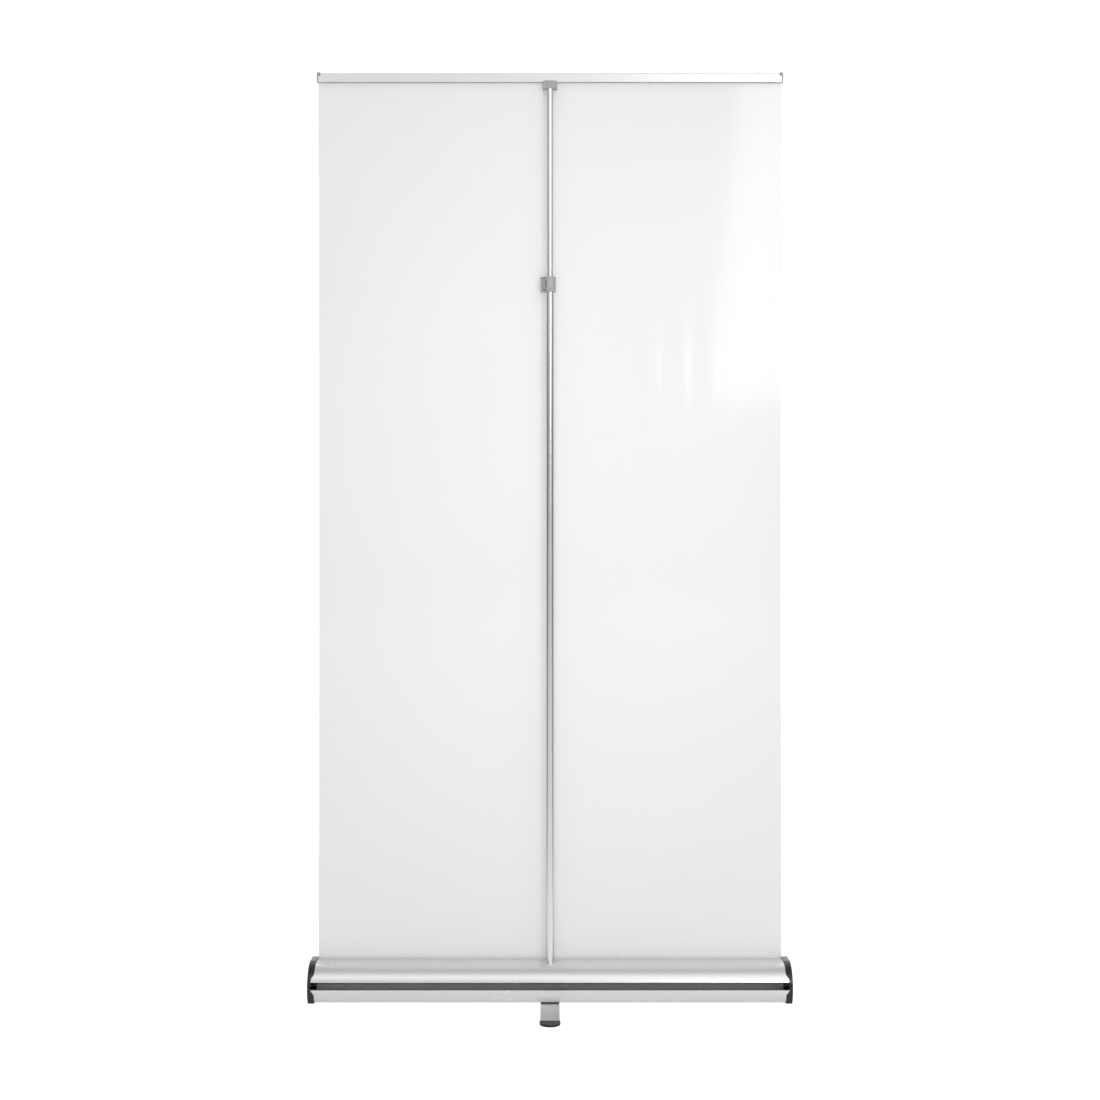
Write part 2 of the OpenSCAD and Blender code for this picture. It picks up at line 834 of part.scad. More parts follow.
// Shoe on the +Y end of the foot bar, open towards the base
module foot_shoe() {
    centre_y = foot_len / 2 - shoe_half_w;
    difference() {
        intersection() {
            union() {
                translate([0, centre_y, 0]) cylinder(h = shoe_h, r = shoe_half_w);
                translate([-shoe_half_w, centre_y - shoe_len, 0]) cube([2 * shoe_half_w, shoe_len, shoe_h]);
            }
            translate([-far, foot_len / 2 - shoe_len, 0]) cube([2 * far, shoe_len, shoe_h]);
        }
        translate([0, bar_half - foot_w / 2, bar_low]) cylinder(h = foot_t, d = foot_w);
        translate([-foot_w / 2, 0, bar_low]) cube([foot_w, bar_half - foot_w / 2, foot_t]);
    }
}

module foot_shoe_front() {
    color("#1c1c1c") foot_shoe();
}

module foot_shoe_rear() {
    color("#1c1c1c") mirror([0, 1, 0]) foot_shoe();
}

// Low-headed bolt that the foot turns on
module foot_bolt() {
    color("dimgray") union() {
        translate([0, 0, 0.3]) cylinder(h = 0.8, d = bolt_d + 8);
        translate([0, 0, 0.3]) cylinder(h = floor_gap + shell_t + 5, d = bolt_d);
    }
}

// Plastic washer between the foot bar and the base
module foot_washer() {
    low = bar_low + foot_t + 0.3;
    color("ivory") translate([0, 0, low]) difference() {
        cylinder(h = floor_gap - low, d = bolt_d + 14);
        translate([0, 0, -1]) cylinder(h = floor_gap, d = bolt_d);
    }
}

module foot_nut() {
    color("dimgray") translate([0, 0, floor_gap + shell_t]) difference() {
        cylinder(h = 4.5, d = bolt_d + 6, $fn = 6);
        translate([0, 0, -1]) cylinder(h = 7, d = bolt_d);
    }
}

base_tray();
top_cover();
end_cap_left();
end_cap_right();
cap_screws_left();
cap_screws_right();
floor_pads_left();
floor_pads_right();
pole_socket();
socket_screws();
roller_tube();
roller_plug_left();
roller_plug_right();
roller_bush_left();
roller_bush_right();
wound_film();
spring_shaft();
stub_axle();
spring_anchor();
roller_spring();
film();
lower_tube();
middle_tube();
tube_spigot();
cord_stop();
elastic_cord();
clamp_body();
clamp_pad();
lever_pin();
clamp_lever();
upper_tube();
upper_tube_bush();
pole_hook();
hook_pin();
rail_back();
rail_front();
rail_grip();
rail_plug_left();
rail_plug_right();
foot_bar();
foot_shoe_rear();
foot_shoe_front();
foot_bolt();
foot_washer();
foot_nut();
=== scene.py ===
import json
import math

import bmesh
import bpy
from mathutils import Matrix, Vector

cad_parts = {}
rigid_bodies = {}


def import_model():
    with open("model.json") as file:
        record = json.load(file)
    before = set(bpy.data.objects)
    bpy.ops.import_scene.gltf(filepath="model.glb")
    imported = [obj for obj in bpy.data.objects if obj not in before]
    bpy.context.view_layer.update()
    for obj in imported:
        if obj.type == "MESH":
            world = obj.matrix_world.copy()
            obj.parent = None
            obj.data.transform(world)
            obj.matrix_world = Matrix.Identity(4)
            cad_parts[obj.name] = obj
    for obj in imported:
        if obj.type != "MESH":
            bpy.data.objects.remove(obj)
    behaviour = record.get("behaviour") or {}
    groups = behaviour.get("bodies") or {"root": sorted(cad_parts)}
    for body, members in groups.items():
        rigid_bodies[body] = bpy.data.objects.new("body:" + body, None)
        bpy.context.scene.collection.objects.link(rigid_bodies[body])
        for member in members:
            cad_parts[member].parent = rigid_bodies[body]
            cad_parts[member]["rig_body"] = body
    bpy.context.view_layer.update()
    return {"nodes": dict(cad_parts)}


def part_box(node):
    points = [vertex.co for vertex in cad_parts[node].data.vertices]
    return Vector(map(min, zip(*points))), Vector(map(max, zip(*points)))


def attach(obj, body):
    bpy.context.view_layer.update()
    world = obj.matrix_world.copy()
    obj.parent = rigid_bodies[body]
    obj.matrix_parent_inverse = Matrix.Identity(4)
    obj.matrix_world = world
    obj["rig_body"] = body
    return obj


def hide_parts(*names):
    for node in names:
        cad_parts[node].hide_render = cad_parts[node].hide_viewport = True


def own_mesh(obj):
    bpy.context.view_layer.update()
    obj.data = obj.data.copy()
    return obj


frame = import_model()

# ---------------------------------------------------------------------------
# Studio: a white room with a pale floor, a tall window-like softbox to the
# right behind the camera, and soft fills. The camera stands level with the
# middle of the film and looks straight along +Y from the pole's side.


def linear(code):
    """An sRGB hex colour as the linear RGBA that Blender's sockets take."""
    channels = [int(code[i:i + 2], 16) / 255 for i in (1, 3, 5)]
    return [c / 12.92 if c <= 0.04045 else ((c + 0.055) / 1.055) ** 2.4 for c in channels] + [1]


def add_node(tree, kind, settings=None, links=None, **values):
    """Adds a node, sets its properties and its inputs, and links the sockets given for it."""
    node = tree.nodes.new(kind)
    for key, value in (settings or {}).items():
        setattr(node, key, value)
    for key, value in values.items():
        node.inputs[key.replace("_", " ")].default_value = value
    for key, source in (links or {}).items():
        tree.links.new(source, node.inputs[key])
    return node


def new_material(name):
    """An empty node material: returns it with its tree and its output node."""
    material = bpy.data.materials.new(name)
    material.use_nodes = True
    material.node_tree.nodes.clear()
    output = add_node(material.node_tree, "ShaderNodeOutputMaterial")
    return material, material.node_tree, output


scene = bpy.context.scene
scene.view_settings.view_transform = "Standard"
eye_height = 0.9655
eye_distance = 3.6
film_low, film_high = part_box("film")
film_plane = (film_low.y + film_high.y) / 2
camera_data = bpy.data.cameras.new("camera")
camera_data.lens = 54.5
camera_data.sensor_width = 36
camera = bpy.data.objects.new("camera", camera_data)
camera.location = (0, film_plane - eye_distance, eye_height)
camera.rotation_euler = (math.radians(90), 0, 0)
scene.collection.objects.link(camera)
scene.camera = camera

# White surround to the camera. What it lights sees a pale ceiling, a bright band high in front and darker side walls
world = bpy.data.worlds.new("studio")
world.use_nodes = True
room = world.node_tree
room.nodes.clear()
way = add_node(room, "ShaderNodeTexCoord")
axes = add_node(room, "ShaderNodeSeparateXYZ", links={0: way.outputs["Generated"]})
across_room = add_node(
    room, "ShaderNodeMapRange", links={"Value": axes.outputs["X"]}, From_Min=-1.0, From_Max=1.0
)


def brightness(factor, stops, full):
    """A ramp over factor, from (place, brightness) stops, as fractions of full."""
    ramp = add_node(room, "ShaderNodeValToRGB", links={0: factor})
    for stop, bright in stops:
        point = ramp.color_ramp.elements.new(stop)
        point.color = (bright / full, bright / full, bright / full, 1)
    ramp.color_ramp.elements.remove(ramp.color_ramp.elements[0])
    ramp.color_ramp.elements.remove(ramp.color_ramp.elements[-1])
    return ramp.outputs[0]


upward = brightness(axes.outputs["Z"], (
    (0.001, 0.6), (0.1, 0.95), (0.19, 2.8), (0.33, 2.8), (0.43, 0.9), (0.51, 1.5), (0.62, 2.8), (0.8, 2.8),
    (0.9, 1.9), (0.999, 1.25),
), 2.8)
around = brightness(across_room.outputs[0], (
    (0.001, 0.35), (0.12, 0.45), (0.26, 0.85), (0.5, 1.0), (0.66, 1.0), (0.74, 1.15), (0.82, 1.15), (0.89, 0.5),
    (0.999, 0.35),
), 2.0)
level = add_node(room, "ShaderNodeMath", {"operation": "MULTIPLY"}, {0: upward, 1: around})
level = add_node(room, "ShaderNodeMath", {"operation": "MULTIPLY"}, {0: level.outputs[0]})
level.inputs[1].default_value = 2.45
lighting = add_node(room, "ShaderNodeBackground", links={"Strength": level.outputs[0]}, Color=linear("#fbfcfd"))
seen = add_node(room, "ShaderNodeBackground", Color=(1, 1, 1, 1), Strength=1.05)
ray = add_node(room, "ShaderNodeLightPath")
chosen = add_node(
    room, "ShaderNodeMixShader", links={0: ray.outputs["Is Camera Ray"], 1: lighting.outputs[0], 2: seen.outputs[0]}
)
add_node(room, "ShaderNodeOutputWorld", links={"Surface": chosen.outputs[0]})
scene.world = world


def softbox(name, place, target, width, height, power, glossy):
    """A rectangular light at place that faces target."""
    data = bpy.data.lights.new(name, "AREA")
    data.shape = "RECTANGLE"
    data.size = width
    data.size_y = height
    data.energy = power
    lamp = bpy.data.objects.new(name, data)
    lamp.location = place
    lamp.rotation_euler = (Vector(target) - Vector(place)).to_track_quat("-Z", "Y").to_euler()
    lamp.visible_glossy = glossy
    lamp.visible_camera = False
    scene.collection.objects.link(lamp)
    return lamp


softbox("window", (1.55, -4.57, 2.5), (1.55, 0, 2.5), 1.25, 1.75, 21, True)
softbox("front_fill", (0.15, -1.3, 1.25), (0.15, 0, 1.25), 1.0, 1.0, 11.0, False)
softbox("back_fill", (-0.6, 3.4, 1.8), (0, 0, 0.9), 2.2, 1.6, 12, False)

# Pale floor: matt white vinyl with a very faint mottle. It glows though it is no lamp, and to the camera it is
# near-evenly white. To other rays it carries a painted pool of light: its colour and glow darken to the sides, away
# from a band round the stand that widens to the front and back
floor_finish, tree, output = new_material("pale_studio_floor")
place = add_node(tree, "ShaderNodeTexCoord")
mottle = add_node(tree, "ShaderNodeTexNoise", links={"Vector": place.outputs["Object"]}, Scale=3.0, Detail=4.0)
tone = add_node(tree, "ShaderNodeMix", {"data_type": "RGBA"}, {0: mottle.outputs["Fac"]})
tone.inputs[6].default_value = linear("#eeeeee")
tone.inputs[7].default_value = linear("#f4f4f4")
apart = add_node(tree, "ShaderNodeSeparateXYZ", links={0: place.outputs["Object"]})
side_reach = add_node(tree, "ShaderNodeMath", {"operation": "ABSOLUTE"}, {0: apart.outputs["X"]})
front_reach = add_node(tree, "ShaderNodeMath", {"operation": "ABSOLUTE"}, {0: apart.outputs["Y"]})
wedge = add_node(tree, "ShaderNodeMath", {"operation": "ADD"}, {0: front_reach.outputs[0]})
wedge.inputs[1].default_value = 0.9
off_wedge = add_node(tree, "ShaderNodeMath", {"operation": "DIVIDE"}, {0: side_reach.outputs[0], 1: wedge.outputs[0]})
# Painted pool of light: full brightness inside the band, falling to 0.3 towards the sides
painted_light_pool = add_node(
    tree, "ShaderNodeMapRange", {"interpolation_type": "SMOOTHSTEP"}, {"Value": off_wedge.outputs[0]},
    From_Min=0.8, From_Max=1.3, To_Min=1.0, To_Max=0.3,
)
pool_painted_tone = add_node(tree, "ShaderNodeVectorMath", {"operation": "SCALE"}, {0: tone.outputs[2], "Scale": painted_light_pool.outputs[0]})
vinyl = add_node(tree, "ShaderNodeBsdfPrincipled", links={"Base Color": pool_painted_tone.outputs[0]}, Roughness=0.9)
ray = add_node(tree, "ShaderNodeLightPath")
# Painted glow: the floor emits light, at full strength to the camera and with the painted pool of light to other rays
strength = add_node(tree, "ShaderNodeMath", {"operation": "MAXIMUM"}, {0: painted_light_pool.outputs[0], 1: ray.outputs["Is Camera Ray"]})
strong = add_node(tree, "ShaderNodeMath", {"operation": "MULTIPLY"}, {0: strength.outputs[0]})
strong.inputs[1].default_value = 1.25
painted_floor_glow = add_node(tree, "ShaderNodeEmission", links={"Strength": strong.outputs[0]}, Color=(1, 1, 1, 1))
glow_share = add_node(
    tree, "ShaderNodeMath", {"operation": "MULTIPLY_ADD"}, {0: ray.outputs["Is Camera Ray"]}
)
glow_share.inputs[1].default_value = 0.66
glow_share.inputs[2].default_value = 0.12
blend = add_node(tree, "ShaderNodeMixShader", links={0: glow_share.outputs[0], 1: vinyl.outputs[0], 2: painted_floor_glow.outputs[0]})
tree.links.new(blend.outputs[0], output.inputs["Surface"])
floor_mesh = bpy.data.meshes.new("floor")
build = bmesh.new()
bmesh.ops.create_circle(build, cap_ends=True, radius=40, segments=96)
build.to_mesh(floor_mesh)
build.free()
floor_mesh.materials.append(floor_finish)
floor = bpy.data.objects.new("floor", floor_mesh)
scene.collection.objects.link(floor)

# ---------------------------------------------------------------------------
# Base extrusions: two lengths of satin-anodised aluminium profile, 2 mm thick.
# The cover is the rounded half with the rear lip of the film's slot, and the
# tray is the floor, the front wall and the lower edge of the rear slot.


def arc(centre, radius, start, end, steps):
    """Points on an arc, in degrees, as sharp corners for rounded()."""
    angles = [math.radians(start + (end - start) * i / steps) for i in range(steps + 1)]
    return [(centre[0] + radius * math.cos(a), centre[1] + radius * math.sin(a), 0) for a in angles]


def rounded(corners, steps=5):
    """A closed 2-D loop through corners (u, v, radius), with each corner of radius over 0 filleted."""
    loop = []
    for i, (u, v, radius) in enumerate(corners):
        here = Vector((u, v))
        before = Vector(corners[i - 1][:2]) - here
        after = Vector(corners[(i + 1) % len(corners)][:2]) - here
        half = before.angle(after, 0) / 2
        if radius <= 0 or half < 0.02 or half > 1.55:
            loop.append((u, v))
            continue
        reach = min(radius / math.tan(half), 0.49 * before.length, 0.49 * after.length)
        radius = reach * math.tan(half)
        first = here + before.normalized() * reach
        last = here + after.normalized() * reach
        centre = here + (before.normalized() + after.normalized()).normalized() * (radius / math.sin(half))
        a, b = (first - centre).normalized(), (last - centre).normalized()
        loop += [tuple(centre + a.slerp(b, k / steps) * radius) for k in range(steps + 1)]
    return loop


def turned_left(loop, clockwise):
    """The loop run clockwise or counter-clockwise."""
    area = sum(loop[i - 1][0] * p[1] - p[0] * loop[i - 1][1] for i, p in enumerate(loop))
    return loop if (area < 0) == clockwise else loop[::-1]


def inset(loop, amount):
    """The loop moved to the left of its travel, which is into the material."""
    if amount == 0:
        return loop
    moved = []
    for i, point in enumerate(loop):
        before = (Vector(point) - Vector(loop[i - 1])).normalized()
        after = (Vector(loop[(i + 1) % len(loop)]) - Vector(point)).normalized()
        way = (before + after).normalized()
        stretch = 1 / max(0.5, way.dot(after))
        moved.append((point[0] - way.y * amount * stretch, point[1] + way.x * amount * stretch))
    return moved


def moulded(build, outline, low, high, place, edge=0, holes=(), steps=3):
    """Adds to build the solid between two levels, its rims rounded by edge. place turns (u, v, level) into X, Y, Z."""
    loops = [turned_left(outline, False)] + [turned_left(hole, True) for hole in holes]
    levels = [(low, 0), (high, 0)]
    if edge > 0:
        turns = [math.radians(90 * k / steps) for k in range(steps + 1)]
        levels = [(low + edge * (1 - math.sin(t)), edge * (1 - math.cos(t))) for t in reversed(turns)]
        levels += [(high - edge * (1 - math.sin(t)), edge * (1 - math.cos(t))) for t in turns]
    ends = [[], []]
    for loop in loops:
        rings = [[build.verts.new(place(u, v, level)) for u, v in inset(loop, inwards)] for level, inwards in levels]
        for lower, upper in zip(rings, rings[1:]):
            for i in range(len(loop)):
                build.faces.new((lower[i - 1], lower[i], upper[i], upper[i - 1]))
        for end, ring in zip(ends, (rings[0], rings[-1])):
            end += [build.edges.get((ring[i - 1], ring[i])) for i in range(len(loop))]
    for end in ends:
        bmesh.ops.triangle_fill(build, use_beauty=True, edges=end)


def along_x(y, z, x):
    return (x, y, z)


def upright(x, y, z):
    return (x, y, z)


def worked(mesh, kind, **settings):
    """The mesh with one modifier applied to it."""
    piece = bpy.data.objects.new("worked", mesh)
    scene.collection.objects.link(piece)
    modifier = piece.modifiers.new(kind, kind)
    for key, value in settings.items():
        setattr(modifier, key, value)
    depsgraph = bpy.context.evaluated_depsgraph_get()
    result = bpy.data.meshes.new_from_object(piece.evaluated_get(depsgraph), depsgraph=depsgraph)
    bpy.data.objects.remove(piece)
    return result


def mesh_of(build, name, smooth_under=32, cutters=None):
    """Turns a bmesh into a mesh with its normals outward, less the solids in cutters. It is smooth where it bends by
    less than smooth_under degrees, and its large faces keep their own normals up to their edges."""
    bmesh.ops.remove_doubles(build, verts=build.verts, dist=1e-7)
    bmesh.ops.recalc_face_normals(build, faces=build.faces)
    mesh = bpy.data.meshes.new(name)
    build.to_mesh(mesh)
    build.free()
    if cutters is not None:
        tool = bpy.data.objects.new("cutter", mesh_of(cutters, "cutter"))
        scene.collection.objects.link(tool)
        mesh = worked(mesh, "BOOLEAN", operation="DIFFERENCE", solver="EXACT", object=tool)
        bpy.data.objects.remove(tool)
    return softened(mesh, smooth_under)


def softened(mesh, smooth_under):
    """The mesh with smooth shading up to that angle, and normals weighted by area."""
    mesh.polygons.foreach_set("use_smooth", [True] * len(mesh.polygons))
    mesh.set_sharp_from_angle(angle=math.radians(smooth_under))
    return worked(mesh, "WEIGHTED_NORMAL", keep_sharp=True, weight=100)


def fit(name, mesh, finish, body, slot, *stands_for):
    """Puts a finished mesh on its body, in place of the CAD nodes that it stands for."""
    mesh.materials.clear()
    mesh.materials.append(finish)
    piece = bpy.data.objects.new(name, mesh)
    scene.collection.objects.link(piece)
    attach(piece, body)
    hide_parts(*stands_for)
    return piece


def surface(name, tints, grain, roughness, metallic=0.0, relief=0.0002, strength=0.06, ior=1.5, haze=9.0):
    """A solid's finish: two close tints in a noise stretched by grain (turns per metre on X, Y, Z), a little relief in
    the same noise, and gloss that drifts between two roughness values over haze (turns per metre)."""
    material, tree, output = new_material(name)
    place = add_node(tree, "ShaderNodeTexCoord")
    lines = add_node(tree, "ShaderNodeMapping", links={"Vector": place.outputs["Object"]}, Scale=grain)
    streak = add_node(
        tree, "ShaderNodeTexNoise", links={"Vector": lines.outputs[0]}, Scale=1.0, Detail=3.0, Roughness=0.6
    )
    drift = add_node(tree, "ShaderNodeTexNoise", links={"Vector": place.outputs["Object"]}, Scale=haze, Detail=3.0)
    gloss = add_node(
        tree, "ShaderNodeMapRange", links={"Value": drift.outputs["Fac"]}, To_Min=roughness[0], To_Max=roughness[1]
    )
    colour = add_node(tree, "ShaderNodeMix", {"data_type": "RGBA"}, {0: streak.outputs["Fac"]})
    colour.inputs[6].default_value = linear(tints[0])
    colour.inputs[7].default_value = linear(tints[1])
    solid = add_node(
        tree, "ShaderNodeBsdfPrincipled", links={"Base Color": colour.outputs[2], "Roughness": gloss.outputs[0]},
        Metallic=metallic,
    )
    if strength > 0:
        bump = add_node(
            tree, "ShaderNodeBump", links={"Height": streak.outputs["Fac"]}, Strength=strength, Distance=relief
        )
        tree.links.new(bump.outputs[0], solid.inputs["Normal"])
    if metallic == 0:
        solid.inputs["IOR"].default_value = ior
    tree.links.new(solid.outputs[0], output.inputs["Surface"])
    return material


def lathe(build, centre, axis, profile, segments=64):
    """Adds a closed ring of (radius, level) points turned about an axis: 0 is X, 1 is Y, 2 is Z. Radius 0 closes it."""
    rings = []
    for radius, level in profile:
        ring = []
        for k in range(segments if radius > 0 else 1):
            turn = math.tau * k / segments
            spot = [radius * math.cos(turn), radius * math.sin(turn)]
            spot.insert(axis, level)
            ring.append(build.verts.new(Vector(centre) + Vector(spot)))
        rings.append(ring)
    for first, second in zip(rings, rings[1:]):
        for k in range(segments):
            quad = [first[k - 1], first[k], second[k], second[k - 1]] if len(first) > 1 and len(second) > 1 else (
                [first[0], second[k], second[k - 1]] if len(first) == 1 else [first[k - 1], first[k], second[0]])
            build.faces.new(quad)


# Die lines run along the profile, every half millimetre or so across it
profile_aluminium = surface("satin_anodised_profile", ("#dfe0e1", "#e7e7e8"), (3, 900, 900), (0.24, 0.33), 1.0, strength=0)
tray_low, tray_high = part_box("base_tray")
cover_low, cover_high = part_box("top_cover")
wall = 0.002
round_r = 0.048
round_z = cover_high.z - round_r
flange = 0.005
lip = 0.006
crest = cover_high.z


def on_round(z, radius):
    """Angle, in degrees, at which the rounded side reaches a height."""
    return 180 - math.degrees(math.asin((z - round_z) / radius))


def on_round_y(z, radius):
    return -math.sqrt(radius ** 2 - (z - round_z) ** 2)


inner_r = round_r - wall
slot_top, slot_low = cover_low.z, 0.034
cover_outline = rounded(
    arc((0, round_z), round_r, on_round(slot_top + 0.0009, round_r), 90, 60)
    + [
        (cover_high.y, crest, 0.0009), (cover_high.y, crest - lip, 0.00095),
        (cover_high.y - wall, crest - lip, 0.00095), (cover_high.y - wall, crest - wall, 0.0006),
    ]
    + arc((0, round_z), inner_r, 90, on_round(slot_top + wall + 0.001, inner_r), 50)
    + [
        (on_round_y(slot_top + wall, inner_r) + flange, slot_top + wall, 0.0008),
        (on_round_y(slot_top + wall, inner_r) + flange, slot_top, 0.0008),
        (on_round_y(slot_top, round_r), slot_top, 0.0009),
    ]
)
front_lean = 0.018 / (crest - tray_low.z)


def front_wall(z, inwards):
    """Y of the leaning front wall at a height."""
    return tray_high.y - (z - tray_low.z) * front_lean - inwards * math.hypot(1, front_lean)


bead = 0.0032
floor_in = tray_low.z + wall
tray_outline = rounded(
    arc((0, round_z), round_r, on_round(slot_low - 0.0009, round_r), on_round(tray_low.z + 0.002, round_r), 30)
    + [
        (on_round_y(tray_low.z, round_r), tray_low.z, 0.002),
        (tray_high.y, tray_low.z, 0.0022),
        (front_wall(crest, 0), crest, 0.0015),
        (front_wall(crest, 0) - bead, crest, 0.0015),
        (front_wall(crest, 0) - bead, crest - bead, 0.0008),
        (front_wall(crest - bead, wall), crest - bead, 0.0005),
        (front_wall(floor_in, wall), floor_in, 0.001),
        (on_round_y(floor_in, inner_r), floor_in, 0.001),
    ]
    + arc((0, round_z), inner_r, on_round(floor_in + 0.002, inner_r), on_round(slot_low - wall - 0.001, inner_r), 24)
    + [
        (on_round_y(slot_low - wall, inner_r) + flange, slot_low - wall, 0.0008),
        (on_round_y(slot_low - wall, inner_r) + flange, slot_low, 0.0008),
        (on_round_y(slot_low, round_r), slot_low, 0.0009),
    ]
)
port_r = 0.0035
port_bore = 0.0018
port_sink = 0.0004


def add_ports(build, centres):
    """Round screw ports that run the whole length inside an extrusion."""
    for centre in centres:
        ring = [p[:2] for p in arc(centre, port_r, 0, 345, 23)]
        bore = [p[:2] for p in arc(centre, port_bore, 0, 337.5, 15)]
        moulded(build, ring, tray_low.x, tray_high.x, along_x, holes=[bore])


port_arc = inner_r - port_r + port_sink
port_floor = floor_in + port_r - port_sink
port_front = crest - 0.028
cover_ports = [
    (-port_arc * math.cos(math.radians(52)), round_z + port_arc * math.sin(math.radians(52))),
    (cover_high.y - port_r, crest - wall - port_r + port_sink),
]
tray_ports = [
    (-0.6 * round_r, port_floor),
    (front_wall(port_floor, wall) - port_r + port_sink, port_floor),
    (front_wall(port_front, wall) - port_r + port_sink, port_front),
]
build = bmesh.new()
moulded(build, cover_outline, cover_low.x, cover_high.x, along_x)
add_ports(build, cover_ports)
pole_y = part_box("lower_tube")[0].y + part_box("lower_tube")[1].x
tube_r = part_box("lower_tube")[1].x
screw_x = (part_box("socket_screws")[1].x - 0.0036)
holes = bmesh.new()
lathe(holes, (0, pole_y, crest), 2, [(0, -0.005), (tube_r, -0.005), (tube_r, 0.005), (0, 0.005)])
for x in (-screw_x, screw_x):
    sink = [(0, -0.005), (0.0021, -0.005), (0.0021, -0.0016), (0.00375, 0), (0.00375, 0.001), (0, 0.001)]
    lathe(holes, (x, pole_y, crest), 2, sink, 32)
cover_mesh = mesh_of(build, "top_cover_skin", cutters=holes)
fit("top_cover_skin", cover_mesh, profile_aluminium, "base", "anodised_aluminium", "top_cover")
build = bmesh.new()
moulded(build, tray_outline, tray_low.x, tray_high.x, along_x)
add_ports(build, tray_ports)
bolt_r = 0.004
holes = bmesh.new()
lathe(holes, (0, 0, floor_in), 2, [(0, -0.004), (bolt_r, -0.004), (bolt_r, 0.002), (0, 0.002)], 48)
tray_mesh = mesh_of(build, "base_tray_skin", cutters=holes)
fit("base_tray_skin", tray_mesh, profile_aluminium, "base", "anodised_aluminium", "base_tray")

# ---------------------------------------------------------------------------
# End caps: injection-moulded black ABS with a glossy face. A skirt laps over
# the extrusions, with a notch at the rear slot, and the face is sunk a little
# inside its rim, with a screw over each port.


# Gloss with a slight orange-peel ripple, dulled in patches by handling
black_abs = surface(
    "glossy_black_abs", ("#0e0f10", "#131415"), (420, 420, 420), (0.1, 0.22), relief=0.0005, strength=0.05, ior=1.53, haze=26
)
cap_low, cap_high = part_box("end_cap_right")
proud = 0.0025
skirt_wall = 0.0023
notch_depth = 0.0068
notch_middle = 0.04475
notch_half = 0.010
notch_slope = 0.015
face_edge = 0.0014
rim = 0.0032
face_sink = 0.0009


def cap_outline():
    """Outline of a cap in Y and Z, standing proud of the extrusions, with evenly spread points on its rounded side."""
    r = round_r + proud
    low = tray_low.z - proud
    top = crest + proud
    corner = math.degrees(math.asin((low - round_z) / r))
    return rounded(
        arc((0, round_z), r, 90, 180 - corner - 2, 110)
        + [
            (-math.sqrt(r * r - (low - round_z) ** 2), low, 0.003),
            (front_wall(low, -proud), low, 0.004),
            (front_wall(top, -proud), top, 0.004),
        ],
        steps=8,
    )


def smooth_step(t):
    t = min(1, max(0, t))
    return t * t * (3 - 2 * t)


def skirt_edge(y, z):
    """X of the skirt's edge: it steps back round the notch on the rounded side."""
    if y > -0.01:
        return cap_low.x
    from_flat = abs(z - notch_middle) - notch_half
    return cap_low.x + notch_depth * smooth_step(1 - from_flat / notch_slope)


def end_cap(side):
    """The mesh of one cap: its face, rim, outer wall, skirt edge and inner wall."""
    build = bmesh.new()
    outline = turned_left(cap_outline(), False)
    quarter = [math.radians(90 * k / 4) for k in range(5)]
    face = [(rim + 0.0006, -face_sink), (rim, -face_sink + 0.0002), (rim - 0.0003, 0)]
    face += [(face_edge * (1 - math.sin(t)), -face_edge * (1 - math.cos(t))) for t in quarter]
    rings = [[(cap_high.x + out, p) for p in inset(outline, inwards)] for inwards, out in face]
    lip_r = 0.0005
    for back, inwards in ((lip_r, 0), (0.0001, lip_r * 0.6), (0, lip_r), (lip_r, skirt_wall)):
        moved = inset(outline, inwards)
        rings.append([(skirt_edge(*outline[i]) + back, moved[i]) for i in range(len(outline))])
    rings.append([(cap_high.x - 0.003, p) for p in inset(outline, skirt_wall)])
    made = [[build.verts.new((side * x, p[0], p[1])) for x, p in ring] for ring in rings]
    for first, second in zip(made, made[1:]):
        for i in range(len(outline)):
            build.faces.new((first[i - 1], first[i], second[i], second[i - 1]))
    build.faces.new(made[0])
    build.faces.new(made[-1])
    return build


for side, word in ((1, "right"), (-1, "left")):
    name = "end_cap_%s_shell" % word
    fit(name, mesh_of(end_cap(side), name, 40), black_abs, "base", "black_abs", "end_cap_" + word)

# ---------------------------------------------------------------------------
# Cap screws: zinc-plated pan heads with a cross recess, five through each cap
# into the extrusions' ports. They are cut and rolled steel, turned in tight.

zinc_steel = surface(
    "zinc_plated_steel", ("#b4b8bb", "#c6c8c6"), (160, 160, 160), (0.22, 0.36), 1.0, relief=0.0001, haze=60
)


def grown(name, material, inputs, wire, points=()):
    """The mesh that a Geometry Nodes tree makes. inputs is {name: (socket type, value)}, and wire(tree, sockets)
    adds the nodes and returns the last geometry socket."""
    tree = bpy.data.node_groups.new(name, "GeometryNodeTree")
    tree.interface.new_socket("Geometry", in_out="INPUT", socket_type="NodeSocketGeometry")
    tree.interface.new_socket("Geometry", in_out="OUTPUT", socket_type="NodeSocketGeometry")
    named = {
        label: tree.interface.new_socket(label, in_out="INPUT", socket_type="NodeSocket" + kind)
        for label, (kind, _) in inputs.items()
    }
    given = add_node(tree, "NodeGroupInput")
    whole = add_node(tree, "GeometryNodeRealizeInstances", links={"Geometry": wire(tree, given.outputs)})
    painted = add_node(tree, "GeometryNodeSetMaterial", links={"Geometry": whole.outputs[0]}, Material=material)
    add_node(tree, "NodeGroupOutput", links={"Geometry": painted.outputs[0]})
    seed = bpy.data.meshes.new(name + "_seed")
    seed.from_pydata(list(points), [], [])
    holder = bpy.data.objects.new(name + "_holder", seed)
    scene.collection.objects.link(holder)
    modifier = holder.modifiers.new(name, "NODES")
    modifier.node_group = tree
    for label, (_, value) in inputs.items():
        modifier[named[label].identifier] = value
    depsgraph = bpy.context.evaluated_depsgraph_get()
    mesh = bpy.data.meshes.new_from_object(holder.evaluated_get(depsgraph), depsgraph=depsgraph)
    holder.modifiers.remove(modifier)
    bpy.data.objects.remove(holder)
    return mesh


def across(x, y, z):
    """A place for moulded() whose level runs along Y."""
    return (x, z, y)


